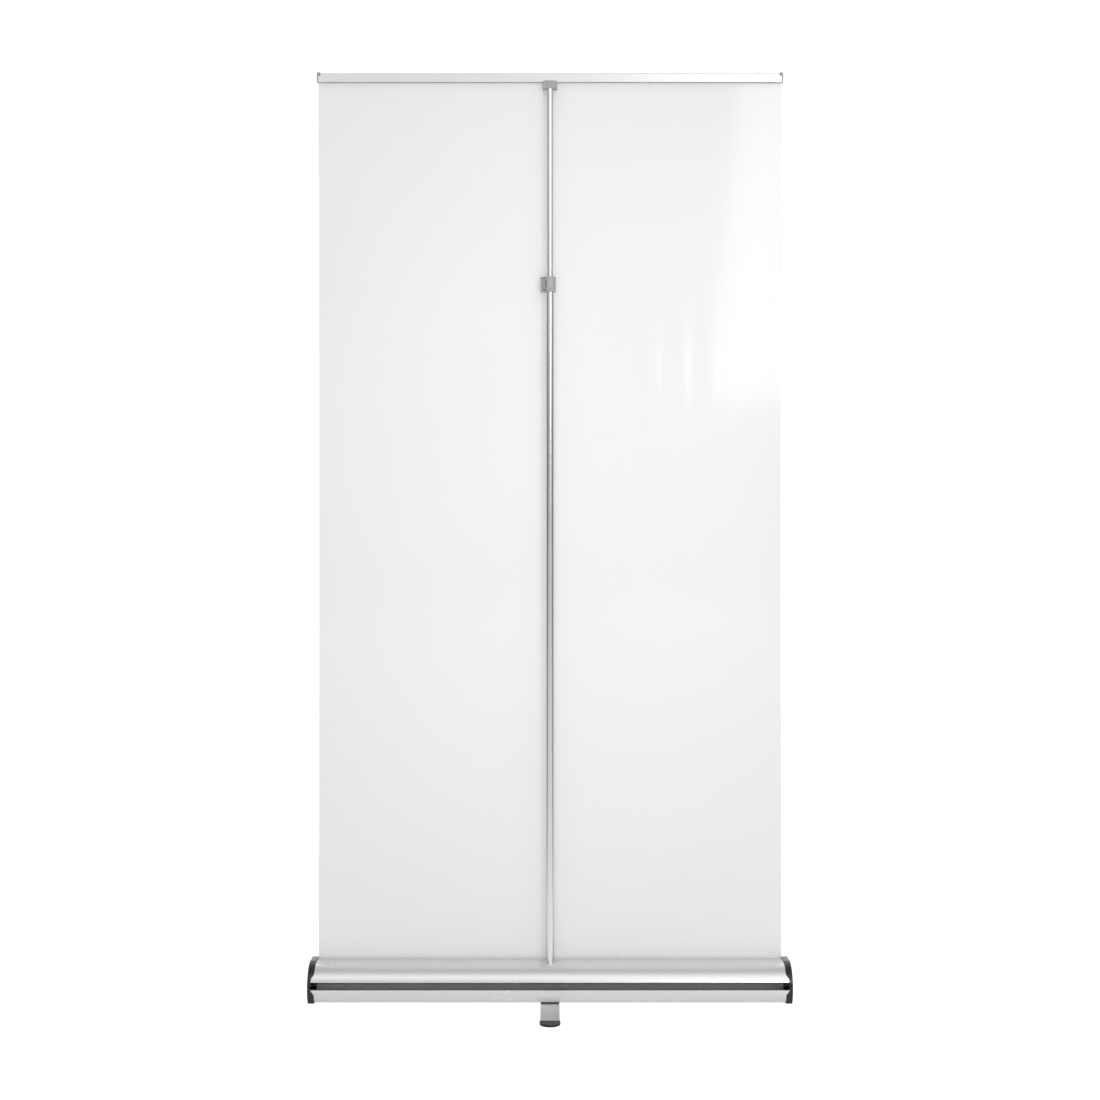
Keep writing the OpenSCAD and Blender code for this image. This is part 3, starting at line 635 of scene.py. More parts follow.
def cross(arm, half, radius=0.0002):
    """The outline of a cross recess."""
    corners = []
    for turn in range(4):
        c, s = round(math.cos(math.tau * turn / 4)), round(math.sin(math.tau * turn / 4))
        for u, v in ((arm, -half), (arm, half), (half, half)):
            corners.append((c * u - s * v, s * u + c * v, radius))
    return rounded(corners, 3)


def circle(radius, count=48, centre=(0, 0)):
    return [p[:2] for p in arc(centre, radius, 0, 360 - 360 / count, count - 1)]


screw_head_r = 0.0035
screw_head_h = 0.002
shank_r = 0.0018
screw_length = cap_high.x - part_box("cap_screws_right")[0].x
build = bmesh.new()
moulded(build, circle(screw_head_r), -0.0013, 0, along_x, edge=0.0005, holes=[cross(0.0019, 0.00045)])
lathe(build, (0, 0, 0), 0, [(0, -0.0012), (screw_head_r, -0.0012), (screw_head_r, -screw_head_h), (shank_r, -screw_head_h),
                            (shank_r, 0.001 - screw_length), (0.0008, -screw_length), (0, -screw_length)], 40)
screw = bpy.data.objects.new("screw_seed", mesh_of(build, "screw_seed", 35))
scene.collection.objects.link(screw)


def planted(tree, given):
    """Copies of the screw on every point, turned by the Turn input."""
    copy = add_node(tree, "GeometryNodeObjectInfo", links={"Object": given["Screw"]})
    return add_node(
        tree, "GeometryNodeInstanceOnPoints",
        links={"Points": given["Geometry"], "Instance": copy.outputs["Geometry"], "Rotation": given["Turn"]},
    ).outputs[0]


for side, word in ((1, "right"), (-1, "left")):
    name = "cap_screws_" + word
    spots = [(side * cap_high.x, y, z) for y, z in cover_ports + tray_ports]
    turn = (0.4, 0, 0 if side > 0 else math.pi)
    screws = grown(name + "_set", zinc_steel, {"Screw": ("Object", screw), "Turn": ("Rotation", turn)}, planted, spots)
    fit(name + "_set", softened(screws, 35), zinc_steel, "base", "zinc_steel", name)
bpy.data.objects.remove(screw)

# ---------------------------------------------------------------------------
# Floor pads: soft rubber discs stuck under the end caps, trimmed to their
# width, so that the base doesn't slide or scratch.

rubber = surface("black_rubber", ("#141414", "#1c1c1b"), (900, 900, 900), (0.6, 0.75), relief=0.0003, strength=0.2)
for side, word in ((1, "right"), (-1, "left")):
    name = "floor_pads_" + word
    low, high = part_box(name)
    radius = 0.007
    half = (high.x - low.x) / 2
    middle = (low.x + high.x) / 2
    open_half = math.degrees(math.acos(half / radius))
    build = bmesh.new()
    for y in (low.y + radius, high.y - radius):
        ring = arc((middle, y), radius, open_half, 180 - open_half, 20)
        ring += arc((middle, y), radius, 180 + open_half, 360 - open_half, 20)
        moulded(build, rounded(ring), low.z, high.z, upright, edge=0.0007)
    fit(name + "_skin", mesh_of(build, name), rubber, "base", "black_rubber", name)

# ---------------------------------------------------------------------------
# Film roll: the last turns of the film, wound tight on the roller. It shows
# as a pale band through the slot along the rounded side. It turns with the
# roller, and its ends show the edge of every turn.


def film_finish(name, tints, roughness, see_through):
    """Glossy white polyester film: even and hard, with a slight warmth that drifts over the sheet, and it lets a
    little light through."""
    material, tree, output = new_material(name)
    place = add_node(tree, "ShaderNodeTexCoord")
    cloud = add_node(tree, "ShaderNodeTexNoise", links={"Vector": place.outputs["Object"]}, Scale=1.6, Detail=2.0)
    colour = add_node(tree, "ShaderNodeMix", {"data_type": "RGBA"}, {0: cloud.outputs["Fac"]})
    colour.inputs[6].default_value = linear(tints[0])
    colour.inputs[7].default_value = linear(tints[1])
    gloss = add_node(
        tree, "ShaderNodeMapRange", links={"Value": cloud.outputs["Fac"]}, To_Min=roughness[0], To_Max=roughness[1]
    )
    face = add_node(
        tree, "ShaderNodeBsdfPrincipled",
        links={"Base Color": colour.outputs[2], "Roughness": gloss.outputs[0]}, IOR=1.6,
    )
    through = add_node(tree, "ShaderNodeBsdfTranslucent", links={"Color": colour.outputs[2]})
    sheet = add_node(tree, "ShaderNodeMixShader", links={1: face.outputs[0], 2: through.outputs[0]})
    sheet.inputs[0].default_value = see_through
    tree.links.new(sheet.outputs[0], output.inputs["Surface"])
    return material


white_film = film_finish("glossy_white_polyester_film", ("#e7e6e4", "#ebebea"), (0.07, 0.1), 0.35)
roll_low, roll_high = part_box("wound_film")
roll_r = (roll_high.y - roll_low.y) / 2
core_r = (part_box("roller_tube")[1].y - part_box("roller_tube")[0].y) / 2
axis_y = (roll_low.y + roll_high.y) / 2
axis_z = (roll_low.z + roll_high.z) / 2
turns = 5
layer = (roll_r - core_r) / turns
spiral = []
for k in range(turns * 72 + 1):
    turn = math.tau * k / 72
    radius = core_r + 0.00002 + (layer * (turns - 1)) * k / (turns * 72)
    spiral.append((axis_y + radius * math.cos(turn), axis_z + radius * math.sin(turn), radius, turn))
outer = [
    (axis_y + (r + layer * 0.9) * math.cos(t), axis_z + (r + layer * 0.9) * math.sin(t)) for _, _, r, t in spiral
]
build = bmesh.new()
inner_row = [[build.verts.new((x, y, z)) for y, z, _, _ in spiral] for x in (roll_low.x, roll_high.x)]
outer_row = [[build.verts.new((x, y, z)) for y, z in outer] for x in (roll_low.x, roll_high.x)]
for k in range(len(spiral) - 1):
    build.faces.new((inner_row[0][k], inner_row[0][k + 1], inner_row[1][k + 1], inner_row[1][k]))
    build.faces.new((outer_row[0][k], outer_row[1][k], outer_row[1][k + 1], outer_row[0][k + 1]))
    for i in (0, 1):
        build.faces.new((inner_row[i][k], inner_row[i][k + 1], outer_row[i][k + 1], outer_row[i][k]))
for k in (0, -1):
    build.faces.new((inner_row[0][k], inner_row[1][k], outer_row[1][k], outer_row[0][k]))
fit("wound_film_turns", mesh_of(build, "wound_film_turns"), white_film, "roller", "film_polyester", "wound_film")

# ---------------------------------------------------------------------------
# Roller: an aluminium tube on moulded plugs with acetal bushes, which turn on
# a fixed steel shaft at one end and a stub axle at the other. The caps hold
# both. A torsion spring runs from one plug to a collar on the long shaft.

tube_aluminium = surface(
    "anodised_aluminium_tube", ("#dcdedf", "#e6e7e8"), (3, 700, 700), (0.26, 0.36), 1.0, strength=0
)
steel_bar = surface("bright_drawn_steel", ("#a3a6a8", "#b3b5b6"), (6, 600, 600), (0.25, 0.4), 1.0, strength=0)
acetal = surface("white_acetal", ("#e6e4dc", "#eeece6"), (200, 200, 200), (0.35, 0.45), strength=0.03)
spring_steel = surface("oiled_spring_steel", ("#6f7072", "#838282"), (90, 700, 700), (0.28, 0.42), 1.0, haze=40)


def refinish(material, *names):
    """Gives CAD nodes whose shape is right a better material."""
    for name in names:
        cad = frame["nodes"][name]
        for index in range(max(1, len(cad.material_slots))):
            if not cad.material_slots:
                cad.data.materials.append(material)
            cad.material_slots[index].material = material


refinish(tube_aluminium, "roller_tube")
refinish(black_abs, "roller_plug_left", "roller_plug_right", "spring_anchor", "pole_socket", "cord_stop", "upper_tube_bush")
refinish(acetal, "roller_bush_left", "roller_bush_right", "foot_washer")
refinish(steel_bar, "spring_shaft", "stub_axle", "lever_pin", "hook_pin")
refinish(zinc_steel, "foot_bolt", "foot_nut", "socket_screws")
spring_low, spring_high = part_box("roller_spring")
wire_r = 0.0009
coil_turns = 22


def coiled(tree, given):
    """A round wire swept along a helix."""
    helix = add_node(
        tree, "GeometryNodeCurveSpiral", links={"Rotations": given["Turns"], "Height": given["Length"]},
        Resolution=48, Start_Radius=coil_r, End_Radius=coil_r,
    )
    section = add_node(tree, "GeometryNodeCurvePrimitiveCircle", links={"Radius": given["Wire"]}, Resolution=12)
    wire = add_node(
        tree, "GeometryNodeCurveToMesh", links={0: helix.outputs[0], 1: section.outputs[0]}, Fill_Caps=True
    )
    return add_node(
        tree, "GeometryNodeTransform", links={"Geometry": wire.outputs[0]},
        Translation=(spring_low.x + wire_r, axis_y, axis_z), Rotation=(0, math.radians(90), 0),
    ).outputs[0]


coil_r = (spring_high.y - spring_low.y) / 2 - wire_r
sizes = {
    "Turns": ("Float", float(coil_turns)), "Wire": ("Float", wire_r),
    "Length": ("Float", spring_high.x - spring_low.x - 2 * wire_r),
}
coil = grown("roller_spring_coil", spring_steel, sizes, coiled)
coil.polygons.foreach_set("use_smooth", [True] * len(coil.polygons))
fit("roller_spring_coil", coil, spring_steel, frame["nodes"]["roller_spring"]["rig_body"], "spring_steel", "roller_spring")

# ---------------------------------------------------------------------------
# Film: one sheet of glossy white polyester, 1 m wide, pulled up out of the
# base by the rail. It hangs taut, bows back a little at mid height, and a few
# soft ripples run down it right of the pole.

film_w = film_high.x - film_low.x
film_h = film_high.z - film_low.z
slot_exit = crest + 0.004
rail_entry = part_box("rail_back")[0].z


def calc(tree, operation, *values):
    """A math node on sockets and numbers: returns its result."""
    node = tree.nodes.new("ShaderNodeMath")
    node.operation = operation
    for socket, value in zip(node.inputs, values):
        if isinstance(value, (int, float)):
            socket.default_value = value
        else:
            tree.links.new(value, socket)
    return node.outputs[0]


def taut_sheet(tree, given):
    """A grid that stands in X and Z and moves in Y by the bow, the curl of its edges and the ripples."""
    grid = add_node(
        tree, "GeometryNodeMeshGrid", links={"Size X": given["Width"], "Size Y": given["Height"]},
        Vertices_X=241, Vertices_Y=221,
    )
    here = add_node(tree, "GeometryNodeInputPosition")
    flat = add_node(tree, "ShaderNodeSeparateXYZ", links={0: here.outputs[0]})
    x = flat.outputs["X"]
    z = calc(tree, "ADD", flat.outputs["Y"], (film_low.z + film_high.z) / 2)
    free = calc(tree, "DIVIDE", calc(tree, "SUBTRACT", z, slot_exit), rail_entry - slot_exit)
    inside = calc(tree, "MINIMUM", calc(tree, "MAXIMUM", free, 0.0), 1.0)
    swell = calc(tree, "POWER", calc(tree, "SINE", calc(tree, "MULTIPLY", inside, math.pi)), 1.5)
    edge = calc(tree, "POWER", calc(tree, "ABSOLUTE", calc(tree, "DIVIDE", x, film_w / 2)), 4.0)
    curl = calc(tree, "MULTIPLY_ADD", edge, given["Curl"], given["Bow"])
    broad = calc(tree, "MULTIPLY", swell, curl)
    off_x = calc(tree, "DIVIDE", calc(tree, "SUBTRACT", x, ripple_x), ripple_half_w)
    off_z = calc(tree, "DIVIDE", calc(tree, "SUBTRACT", z, ripple_z), ripple_half_h)
    reach = calc(tree, "ADD", calc(tree, "MULTIPLY", off_x, off_x), calc(tree, "MULTIPLY", off_z, off_z))
    fade = calc(tree, "EXPONENT", calc(tree, "MULTIPLY", reach, -1.0))
    wave = calc(tree, "SINE", calc(tree, "MULTIPLY", calc(tree, "SUBTRACT", x, ripple_x), math.tau / ripple_pitch))
    ripple = calc(tree, "MULTIPLY", calc(tree, "MULTIPLY", fade, wave), given["Ripple"])
    y = calc(tree, "ADD", calc(tree, "ADD", broad, ripple), film_plane)
    spot = add_node(tree, "ShaderNodeCombineXYZ", links={"X": x, "Y": y, "Z": z})
    return add_node(
        tree, "GeometryNodeSetPosition", links={"Geometry": grid.outputs[0], "Position": spot.outputs[0]}
    ).outputs[0]


ripple_x, ripple_z = 0.235, 1.36
ripple_half_w, ripple_half_h = 0.09, 0.17
ripple_pitch = 0.066
sizes = {
    "Width": ("Float", film_w), "Height": ("Float", film_h), "Bow": ("Float", 0.006), "Curl": ("Float", 0.004),
    "Ripple": ("Float", 0.00044),
}
sheet_mesh = grown("film_sheet", white_film, sizes, taut_sheet)
sheet_mesh.polygons.foreach_set("use_smooth", [True] * len(sheet_mesh.polygons))
sheet_mesh.materials.clear()
sheet_mesh.materials.append(white_film)
film_sheet = bpy.data.objects.new("film_sheet", sheet_mesh)
scene.collection.objects.link(film_sheet)
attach(film_sheet, frame["nodes"]["film"]["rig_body"])
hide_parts("film")
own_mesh(film_sheet)

# ---------------------------------------------------------------------------
# Pole: two thick anodised tubes joined end to end over a spigot, and a thin
# one that slides in them. They are drawn aluminium, cut square and deburred.

pole_aluminium = surface(
    "satin_anodised_tube", ("#e2e3e4", "#ebecec"), (700, 700, 3), (0.2, 0.28), 1.0, strength=0
)


def pole_tube(name, bore_r, body):
    low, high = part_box(name)
    centre = ((low.x + high.x) / 2, (low.y + high.y) / 2)
    build = bmesh.new()
    moulded(
        build, circle((high.x - low.x) / 2, 96, centre), low.z, high.z, upright, edge=0.0003,
        holes=[circle(bore_r, 96, centre)],
    )
    fit(name + "_skin", mesh_of(build, name, 50), pole_aluminium, body, "anodised_aluminium", name)


thin_r = (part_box("upper_tube")[1].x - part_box("upper_tube")[0].x) / 2
pole_tube("lower_tube", tube_r - 0.0015, "base")
pole_tube("middle_tube", tube_r - 0.0015, "base")
pole_tube("upper_tube", thin_r - 0.0015, "upper_pole")
refinish(tube_aluminium, "tube_spigot")

# Elastic cord inside the two thick tubes: braided polyester over rubber, with a knot above the spigot
elastic = surface("braided_elastic", ("#151515", "#2a2a2b"), (1500, 1500, 500), (0.7, 0.85), relief=0.0006, strength=0.5)
cord_low, cord_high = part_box("elastic_cord")
cord_r = 0.002
knot_r = (cord_high.x - cord_low.x) / 2
knot_h = 0.005


def braid(tree, given):
    """Three strands twisted round one another along the cord, and a tight coil for the knot."""
    strands = add_node(tree, "GeometryNodeJoinGeometry")
    for k in range(3):
        twist = add_node(
            tree, "GeometryNodeCurveSpiral", links={"Height": given["Length"], "Rotations": given["Twists"]},
            Resolution=12, Start_Radius=cord_r * 0.5, End_Radius=cord_r * 0.5,
        )
        turned = add_node(
            tree, "GeometryNodeTransform", links={"Geometry": twist.outputs[0]},
            Translation=(0, pole_y, cord_low.z), Rotation=(0, 0, math.tau * k / 3),
        )
        section = add_node(tree, "GeometryNodeCurvePrimitiveCircle", Resolution=10, Radius=cord_r * 0.5)
        strand = add_node(
            tree, "GeometryNodeCurveToMesh", links={0: turned.outputs[0], 1: section.outputs[0]}, Fill_Caps=True
        )
        tree.links.new(strand.outputs[0], strands.inputs[0])
    loop = add_node(
        tree, "GeometryNodeCurveSpiral", Resolution=32, Rotations=2.0, Start_Radius=knot_r * 0.6,
        End_Radius=knot_r * 0.6, Height=knot_h * 0.5,
    )
    seat = add_node(
        tree, "GeometryNodeTransform", links={"Geometry": loop.outputs[0]},
        Translation=(0, pole_y, cord_high.z - knot_h * 0.75),
    )
    section = add_node(tree, "GeometryNodeCurvePrimitiveCircle", Resolution=12, Radius=knot_r * 0.38)
    knot = add_node(
        tree, "GeometryNodeCurveToMesh", links={0: seat.outputs[0], 1: section.outputs[0]}, Fill_Caps=True
    )
    tree.links.new(knot.outputs[0], strands.inputs[0])
    return strands.outputs[0]


sizes = {"Length": ("Float", cord_high.z - cord_low.z - 0.001), "Twists": ("Float", 90.0)}
cord_mesh = grown("elastic_cord_braid", elastic, sizes, braid)
cord_mesh.polygons.foreach_set("use_smooth", [True] * len(cord_mesh.polygons))
fit("elastic_cord_braid", cord_mesh, elastic, "base", "elastic_braid", "elastic_cord")

# ---------------------------------------------------------------------------
# Clamp: a grey moulded collar on the thick tube's end, with two ears that
# carry a cam lever. The lever's arm wraps the near side, with a slot through
# it, and presses a pad on the thin tube.

grey_plastic = surface(
    "mid_grey_nylon", ("#969694", "#a1a19f"), (500, 500, 500), (0.34, 0.46), relief=0.0002, strength=0.12, ior=1.53
)
clamp_low, clamp_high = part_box("clamp_body")
lever_low, lever_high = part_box("clamp_lever")
clamp_r = clamp_high.x
ear_t = 0.0035
pin_x = -0.016
barrel_r = pin_x - lever_low.x
ear_r = barrel_r + 0.0006
mast_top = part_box("middle_tube")[1].z
build = bmesh.new()
meet = math.degrees(math.asin(ear_r / clamp_r))
ear = rounded(
    arc((0, pole_y), clamp_r, meet - 180, 180 - meet, 72) + arc((pin_x, pole_y), ear_r, 90, 270, 24)
)
bite_r = barrel_r + 0.0003
bite_x = -(pin_x ** 2 + clamp_r ** 2 - bite_r ** 2) / (2 * -pin_x)
bite_y = math.sqrt(clamp_r ** 2 - bite_x ** 2)
out_angle = 180 - math.degrees(math.atan2(bite_y, -bite_x))
in_angle = math.degrees(math.atan2(bite_y, bite_x - pin_x))
waist = rounded(
    arc((0, pole_y), clamp_r, -out_angle, out_angle, 72) + arc((pin_x, pole_y), bite_r, in_angle, -in_angle, 8)
)
wide = circle(tube_r + 0.0001, 64, (0, pole_y))
narrow = circle(thin_r + 0.0001, 64, (0, pole_y))
moulded(build, ear, clamp_low.z, clamp_low.z + ear_t, upright, edge=0.0006, holes=[wide])
moulded(build, waist, clamp_low.z + ear_t - 0.0008, mast_top, upright, holes=[wide])
moulded(build, waist, mast_top, clamp_high.z - ear_t + 0.0008, upright, holes=[narrow])
moulded(build, ear, clamp_high.z - ear_t, clamp_high.z, upright, edge=0.0006, holes=[narrow])
rib_w = 0.0012
for k in range(4):
    height = clamp_low.z + ear_t + 0.004 + k * 0.006

    if k in (0, 3):
        half_ring = rounded(
            arc((0, pole_y), clamp_r + 0.0002, -80, 80, 48) + arc((0, pole_y), clamp_r - 0.001, 80, -80, 48)
        )
        moulded(build, half_ring, height, height + rib_w, upright, edge=0.0002)
fit("clamp_body_skin", mesh_of(build, "clamp_body_skin"), grey_plastic, "base", "grey_plastic", "clamp_body")


arm_reach = lever_high.x
arm_out_r = pole_y - lever_low.y
arm_in_r = arm_out_r - 0.0032
arm_margin = 0.0015
arm_mid = (lever_low.z + lever_high.z) / 2
arm_half = (lever_high.z - lever_low.z) / 2 - arm_margin


def swung(x):
    """Angle round the pole, from straight towards -Y, at which the arm's outer face reaches an X."""
    return math.asin(max(-0.999, min(0.999, x / arm_out_r)))


def wrapped(u, v, level):
    """A place for moulded(): u is an angle in units of the arm's radius, and level is the distance from the pole."""
    return (level * math.sin(u / arm_out_r), pole_y - level * math.cos(u / arm_out_r), v)


start, stop = swung(-0.0155) * arm_out_r, swung(arm_reach) * arm_out_r
plate = rounded([
    (start, arm_mid - arm_half, 0.001), (stop, arm_mid - arm_half, 0.004),
    (stop, arm_mid + arm_half, 0.004), (start, arm_mid + arm_half, 0.001),
])
slot_from, slot_to = swung(-0.0122) * arm_out_r, swung(-0.0078) * arm_out_r
window = rounded([
    (slot_from, arm_mid - 0.0085, 0.0015), (slot_to, arm_mid - 0.0085, 0.0015),
    (slot_to, arm_mid + 0.0085, 0.0015), (slot_from, arm_mid + 0.0085, 0.0015),
])


def bend_flat(build, first, last, cuts):
    """Slices a flat solid that lies in X, Z with its level along Y, and wraps it round the pole."""
    for k in range(1, cuts):
        u = first + (last - first) * k / cuts
        bmesh.ops.bisect_plane(
            build, geom=build.verts[:] + build.edges[:] + build.faces[:], plane_co=(u, 0, 0), plane_no=(1, 0, 0), dist=1e-7
        )
    for vert in build.verts:
        vert.co = wrapped(vert.co.x, vert.co.z, vert.co.y)


arm = bmesh.new()
moulded(arm, plate, arm_in_r, arm_out_r, across, edge=0.0007, holes=[window])
bend_flat(arm, start, stop, 26)
thumb_from, thumb_to = swung(-0.0066) * arm_out_r, swung(0.0046) * arm_out_r
thumb = rounded([
    (thumb_from, arm_mid - 0.0078, 0.0016), (thumb_to, arm_mid - 0.0078, 0.0016),
    (thumb_to, arm_mid + 0.0078, 0.0016), (thumb_from, arm_mid + 0.0078, 0.0016),
])
pad = bmesh.new()
moulded(pad, thumb, arm_out_r - 0.001, arm_out_r + 0.0007, across, edge=0.0005)
bend_flat(pad, thumb_from, thumb_to, 12)
build = bmesh.new()
for part in (arm, pad):
    part_mesh = mesh_of(part, "lever_part")
    build.from_mesh(part_mesh)
    bpy.data.meshes.remove(part_mesh)
e = 0.0006
pin_r = 0.0013
lathe(build, (pin_x, pole_y, 0), 2, [
    (pin_r, lever_low.z), (barrel_r - e, lever_low.z), (barrel_r - 0.3 * e, lever_low.z + 0.3 * e),
    (barrel_r, lever_low.z + e), (barrel_r, lever_high.z - e), (barrel_r - 0.3 * e, lever_high.z - 0.3 * e),
    (barrel_r - e, lever_high.z), (pin_r, lever_high.z), (pin_r, lever_low.z),
], 48)
fit("clamp_lever_skin", mesh_of(build, "clamp_lever_skin"), grey_plastic, "lever", "grey_plastic", "clamp_lever")
brown_fibre = surface("brown_pressed_fibre", ("#7a4d26", "#91602f"), (250, 250, 900), (0.7, 0.85), strength=0.3)
refinish(brown_fibre, "clamp_pad")

# ---------------------------------------------------------------------------
# Hook: the moulded grey head of the pole, ribbed on its near face and riveted
# to the thin tube. Its tongue stands up into the channel of the rail.

hook_low, hook_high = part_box("pole_hook")
hook_top = hook_high.z - 0.0123
rib_count = 5
rib_pitch = (hook_high.x - hook_low.x) / rib_count
groove = 0.0006
back_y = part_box("rail_back")[0].y - 0.0007
edge_line = [(hook_low.x, back_y, 0.001), (hook_low.x, hook_low.y, 0.0025)]
for k in range(1, rib_count):
    spot = hook_low.x + k * rib_pitch
    edge_line += arc((spot, hook_low.y), groove, 180, 0, 8)
edge_line += [(hook_high.x, hook_low.y, 0.0025), (hook_high.x, back_y, 0.001)]
build = bmesh.new()
moulded(build, rounded(edge_line), hook_low.z, hook_top, upright, edge=0.0008)
tongue_half = 0.01
tongue_back = hook_high.y - 0.0034
bridge = rounded([
    (-tongue_half, pole_y, 0.001), (tongue_half, pole_y, 0.001),
    (tongue_half, hook_high.y, 0.001), (-tongue_half, hook_high.y, 0.001),
])
tongue = rounded([
    (-tongue_half, tongue_back, 0.0008), (tongue_half, tongue_back, 0.0008),
    (tongue_half, hook_high.y, 0.0008), (-tongue_half, hook_high.y, 0.0008),
])
moulded(build, bridge, hook_top - 0.006, hook_top + 0.003, upright, edge=0.0004)
moulded(build, tongue, hook_top - 0.006, hook_high.z, upright, edge=0.0006)

fit("pole_hook_skin", mesh_of(build, "pole_hook_skin"), grey_plastic, "upper_pole", "grey_plastic", "pole_hook")

# ---------------------------------------------------------------------------
# Top rail: a snap rail of two satin-anodised extrusions. The fixed half takes
# the hook's tongue in its channel, and holds the jaw by a bead in a socket.

rail_low, rail_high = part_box("rail_back")
jaw_low, jaw_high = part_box("rail_front")
ring_r = 0.0036
socket_r = 0.0023
bead_r = 0.0022
bead = (film_low.y + 0.0016, rail_high.z - ring_r)
skin = 0.0015
inner = 0.0016
inner_y = film_low.y - 0.0002
angle_out = 180 + math.degrees(math.acos((bead[0] - inner_y) / ring_r))
angle_in = 180 + math.degrees(math.acos(min(1, (bead[0] - inner_y + inner) / ring_r)))
roof = 180 - math.degrees(math.asin((ring_r - skin) / ring_r))
back_outline = rounded(
    [(rail_low.y, rail_low.z, 0.0005), (rail_low.y + skin, rail_low.z, 0.0005)]
    + [(rail_low.y + skin, rail_high.z - skin, 0.0005)]
    + arc(bead, ring_r, roof, angle_in, 8)
    + [(inner_y - inner, rail_low.z, 0.0005), (inner_y, rail_low.z, 0.0005)]
    + [(inner_y, rail_low.z + 0.003, 0), (inner_y - 0.0008, rail_low.z + 0.003, 0)]
    + [(inner_y - 0.0008, rail_low.z + 0.006, 0), (inner_y, rail_low.z + 0.006, 0)]
    + arc(bead, ring_r, angle_out, 244, 2) + arc(bead, socket_r, 244, 0, 30) + arc(bead, ring_r, 0, 90, 16)
    + [(rail_low.y, rail_high.z, 0.002)]
)
build = bmesh.new()
moulded(build, back_outline, rail_low.x, rail_high.x, along_x)
fit("rail_back_channel", mesh_of(build, "rail_back_channel"), profile_aluminium, "rail", "anodised_aluminium", "rail_back")

plate_y = bead[0] - 0.0007
plate_out = bead[0] + 0.0007
skin_top = bead[1] - ring_r - 0.001
slope = (jaw_high.y - plate_out) / (jaw_high.y - bead[0])
bead_turn = math.degrees(math.acos(0.0007 / bead_r))
front_outline = rounded(
    [(plate_y, jaw_low.z, 0.0005), (jaw_high.y, jaw_low.z, 0.0012), (jaw_high.y, skin_top - 0.0024, 0.0012)]
    + [(plate_out, skin_top - 0.0024 + 0.0024 * slope, 0.0004)]
    + arc(bead, bead_r, -bead_turn, 180 + bead_turn, 40)
)
hollow = rounded([
    (plate_out, jaw_low.z + 0.0012, 0.0004), (jaw_high.y - 0.0012, jaw_low.z + 0.0012, 0.0006),
    (jaw_high.y - 0.0012, skin_top - 0.0034, 0.0006), (plate_out, skin_top - 0.002, 0.0004),
])
build = bmesh.new()
moulded(build, front_outline, jaw_low.x, jaw_high.x, along_x, holes=[hollow])
fit("rail_front_jaw", mesh_of(build, "rail_front_jaw"), profile_aluminium, "rail_jaw", "anodised_aluminium", "rail_front")

grip_low, grip_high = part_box("rail_grip")
teeth = [(grip_low.y, grip_low.z, 0), (grip_high.y - 0.0004, grip_low.z, 0)]
for k in range(5):
    z = grip_low.z + 0.0003 + k * 0.0006
    teeth += [(grip_high.y - 0.0004, z - 0.0002, 0), (grip_high.y, z, 0.0001), (grip_high.y - 0.0004, z + 0.0002, 0)]
teeth += [(grip_high.y - 0.0004, grip_high.z, 0), (grip_low.y, grip_high.z, 0)]
build = bmesh.new()
moulded(build, rounded(teeth, 2), grip_low.x, grip_high.x, along_x)
fit("rail_grip_strip", mesh_of(build, "rail_grip_strip"), rubber, "rail", "black_rubber", "rail_grip")

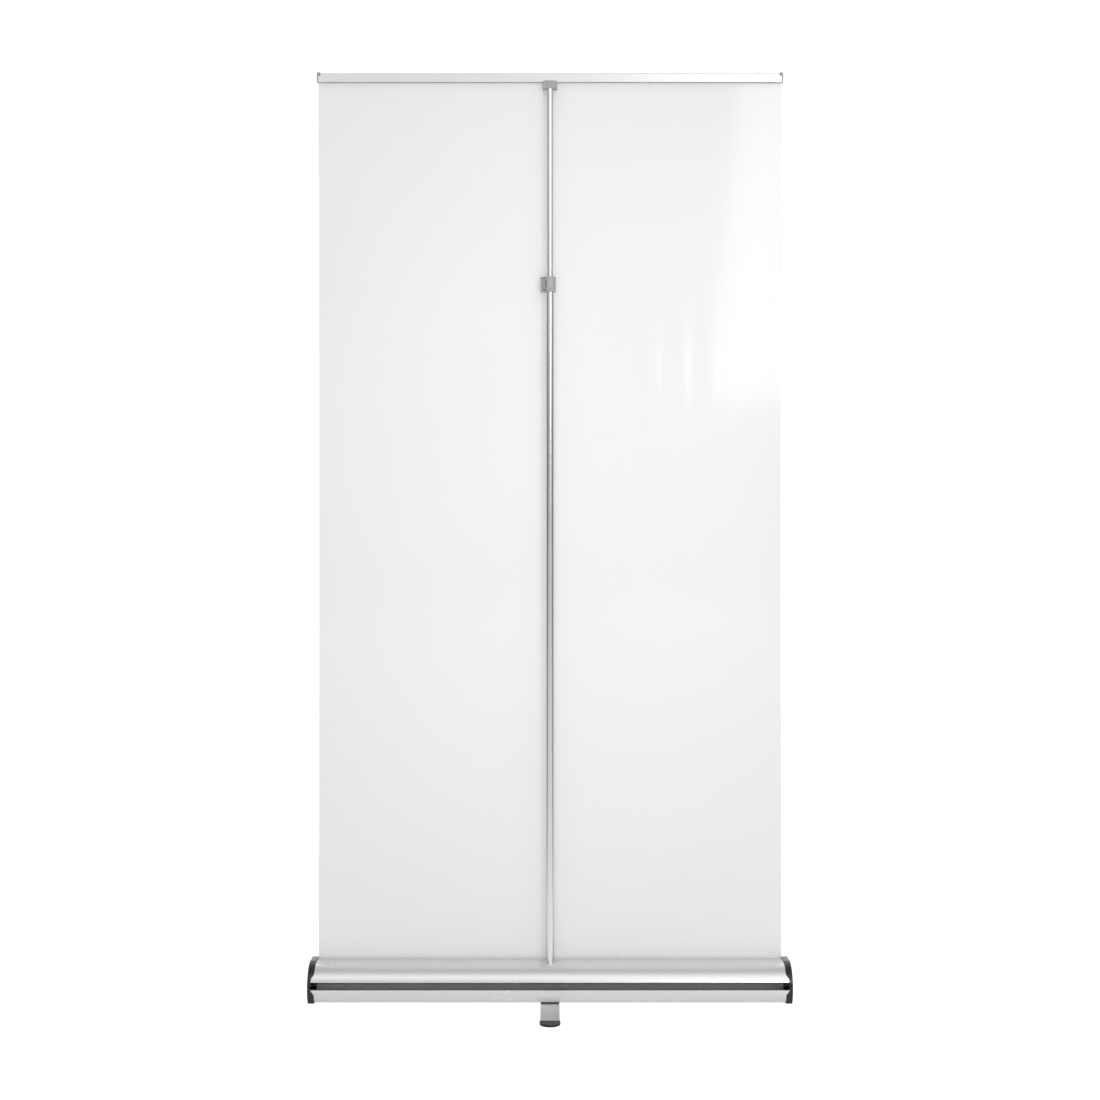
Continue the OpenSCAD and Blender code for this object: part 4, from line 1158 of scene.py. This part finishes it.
# Rail plugs: grey moulded ends, each with a small round ear on the pole's side
for side, word in ((1, "right"), (-1, "left")):
    name = "rail_plug_" + word
    low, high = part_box(name)
    ear_r_small = 0.004
    ear_x = high.x - ear_r_small if side > 0 else low.x + ear_r_small
    ear_z = high.z - ear_r_small
    face_in, face_out = rail_high.x, abs(high.x if side > 0 else low.x)
    outline = rounded([
        (rail_low.y, rail_low.z, 0.0015), (high.y, rail_low.z, 0.0015),
        (high.y, rail_high.z, 0.0015), (rail_low.y, rail_high.z, 0.0015),
    ])
    tongue = rounded([
        (rail_low.y + skin, rail_low.z + 0.001, 0.0006), (inner_y - inner, rail_low.z + 0.001, 0.0006),
        (inner_y - inner, rail_high.z - 2 * ring_r - 0.0005, 0.0006),
        (rail_low.y + skin, rail_high.z - 2 * ring_r - 0.0005, 0.0006),
    ])
    build = bmesh.new()
    ends = (face_in, face_out) if side > 0 else (-face_out, -face_in)
    inside = (face_in - 0.012, face_in) if side > 0 else (-face_in, -face_in + 0.012)
    moulded(build, outline, ends[0], ends[1], along_x, edge=0.0006)
    moulded(build, tongue, inside[0], inside[1], along_x)
    ring = circle(ear_r_small, 40, (ear_x, ear_z))
    dimple = circle(ear_r_small - 0.002, 32, (ear_x, ear_z))
    moulded(build, ring, low.y, low.y + 0.001, across, edge=0.0004, holes=[dimple])
    moulded(build, ring, low.y + 0.0009, rail_low.y + 0.0002, across)
    web = rounded([
        (side * face_in, ear_z - ear_r_small + 0.0001, 0), (side * (face_out - 0.0006), ear_z - ear_r_small + 0.0001, 0),
        (side * (face_out - 0.0006), ear_z, 0), (side * face_in, ear_z, 0),
    ])
    moulded(build, web, rail_low.y - 0.001, rail_low.y + 0.001, across)
    fit(name + "_skin", mesh_of(build, name), grey_plastic, "rail", "grey_plastic", name)

# ---------------------------------------------------------------------------
# Foot: a flat zinc-plated steel bar that turns on a bolt under the base, with
# a black moulded shoe on each end.

foot_steel = surface(
    "satin_zinc_flat_bar", ("#e4e5e5", "#eeeeee"), (900, 12, 900), (0.3, 0.42), 1.0, strength=0, haze=30
)
bar_low, bar_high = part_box("foot_bar")
half_w = bar_high.x
straight = bar_high.y - half_w
bolt_gap = 0.00005
build = bmesh.new()
moulded(
    build, rounded(arc((0, straight), half_w, 0, 180, 48) + arc((0, -straight), half_w, 180, 360, 48)),
    bar_low.z, bar_high.z, upright, edge=0.0004, holes=[circle(bolt_r + bolt_gap)],
)
fit("foot_bar_skin", mesh_of(build, "foot_bar_skin"), foot_steel, "foot", "zinc_steel", "foot_bar")
shoe_black = surface(
    "moulded_black_polypropylene", ("#0f1011", "#141516"), (700, 700, 700), (0.16, 0.26), relief=0.0002, strength=0.05
)
for side, word in ((1, "front"), (-1, "rear")):
    name = "foot_shoe_" + word
    low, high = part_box(name)
    tip_r = high.x
    tip_y = side * (max(abs(low.y), abs(high.y)) - tip_r)
    open_y = side * min(abs(low.y), abs(high.y))
    outline = rounded(
        [(tip_r, open_y, 0.0022)] + arc((0, tip_y), tip_r, 0, side * 180, 56) + [(-tip_r, open_y, 0.0022)]
    )
    build = bmesh.new()
    moulded(build, outline, low.z, high.z, upright, edge=0.0015, steps=5)
    fit(name + "_skin", mesh_of(build, name), shoe_black, "foot", "black_abs", name)
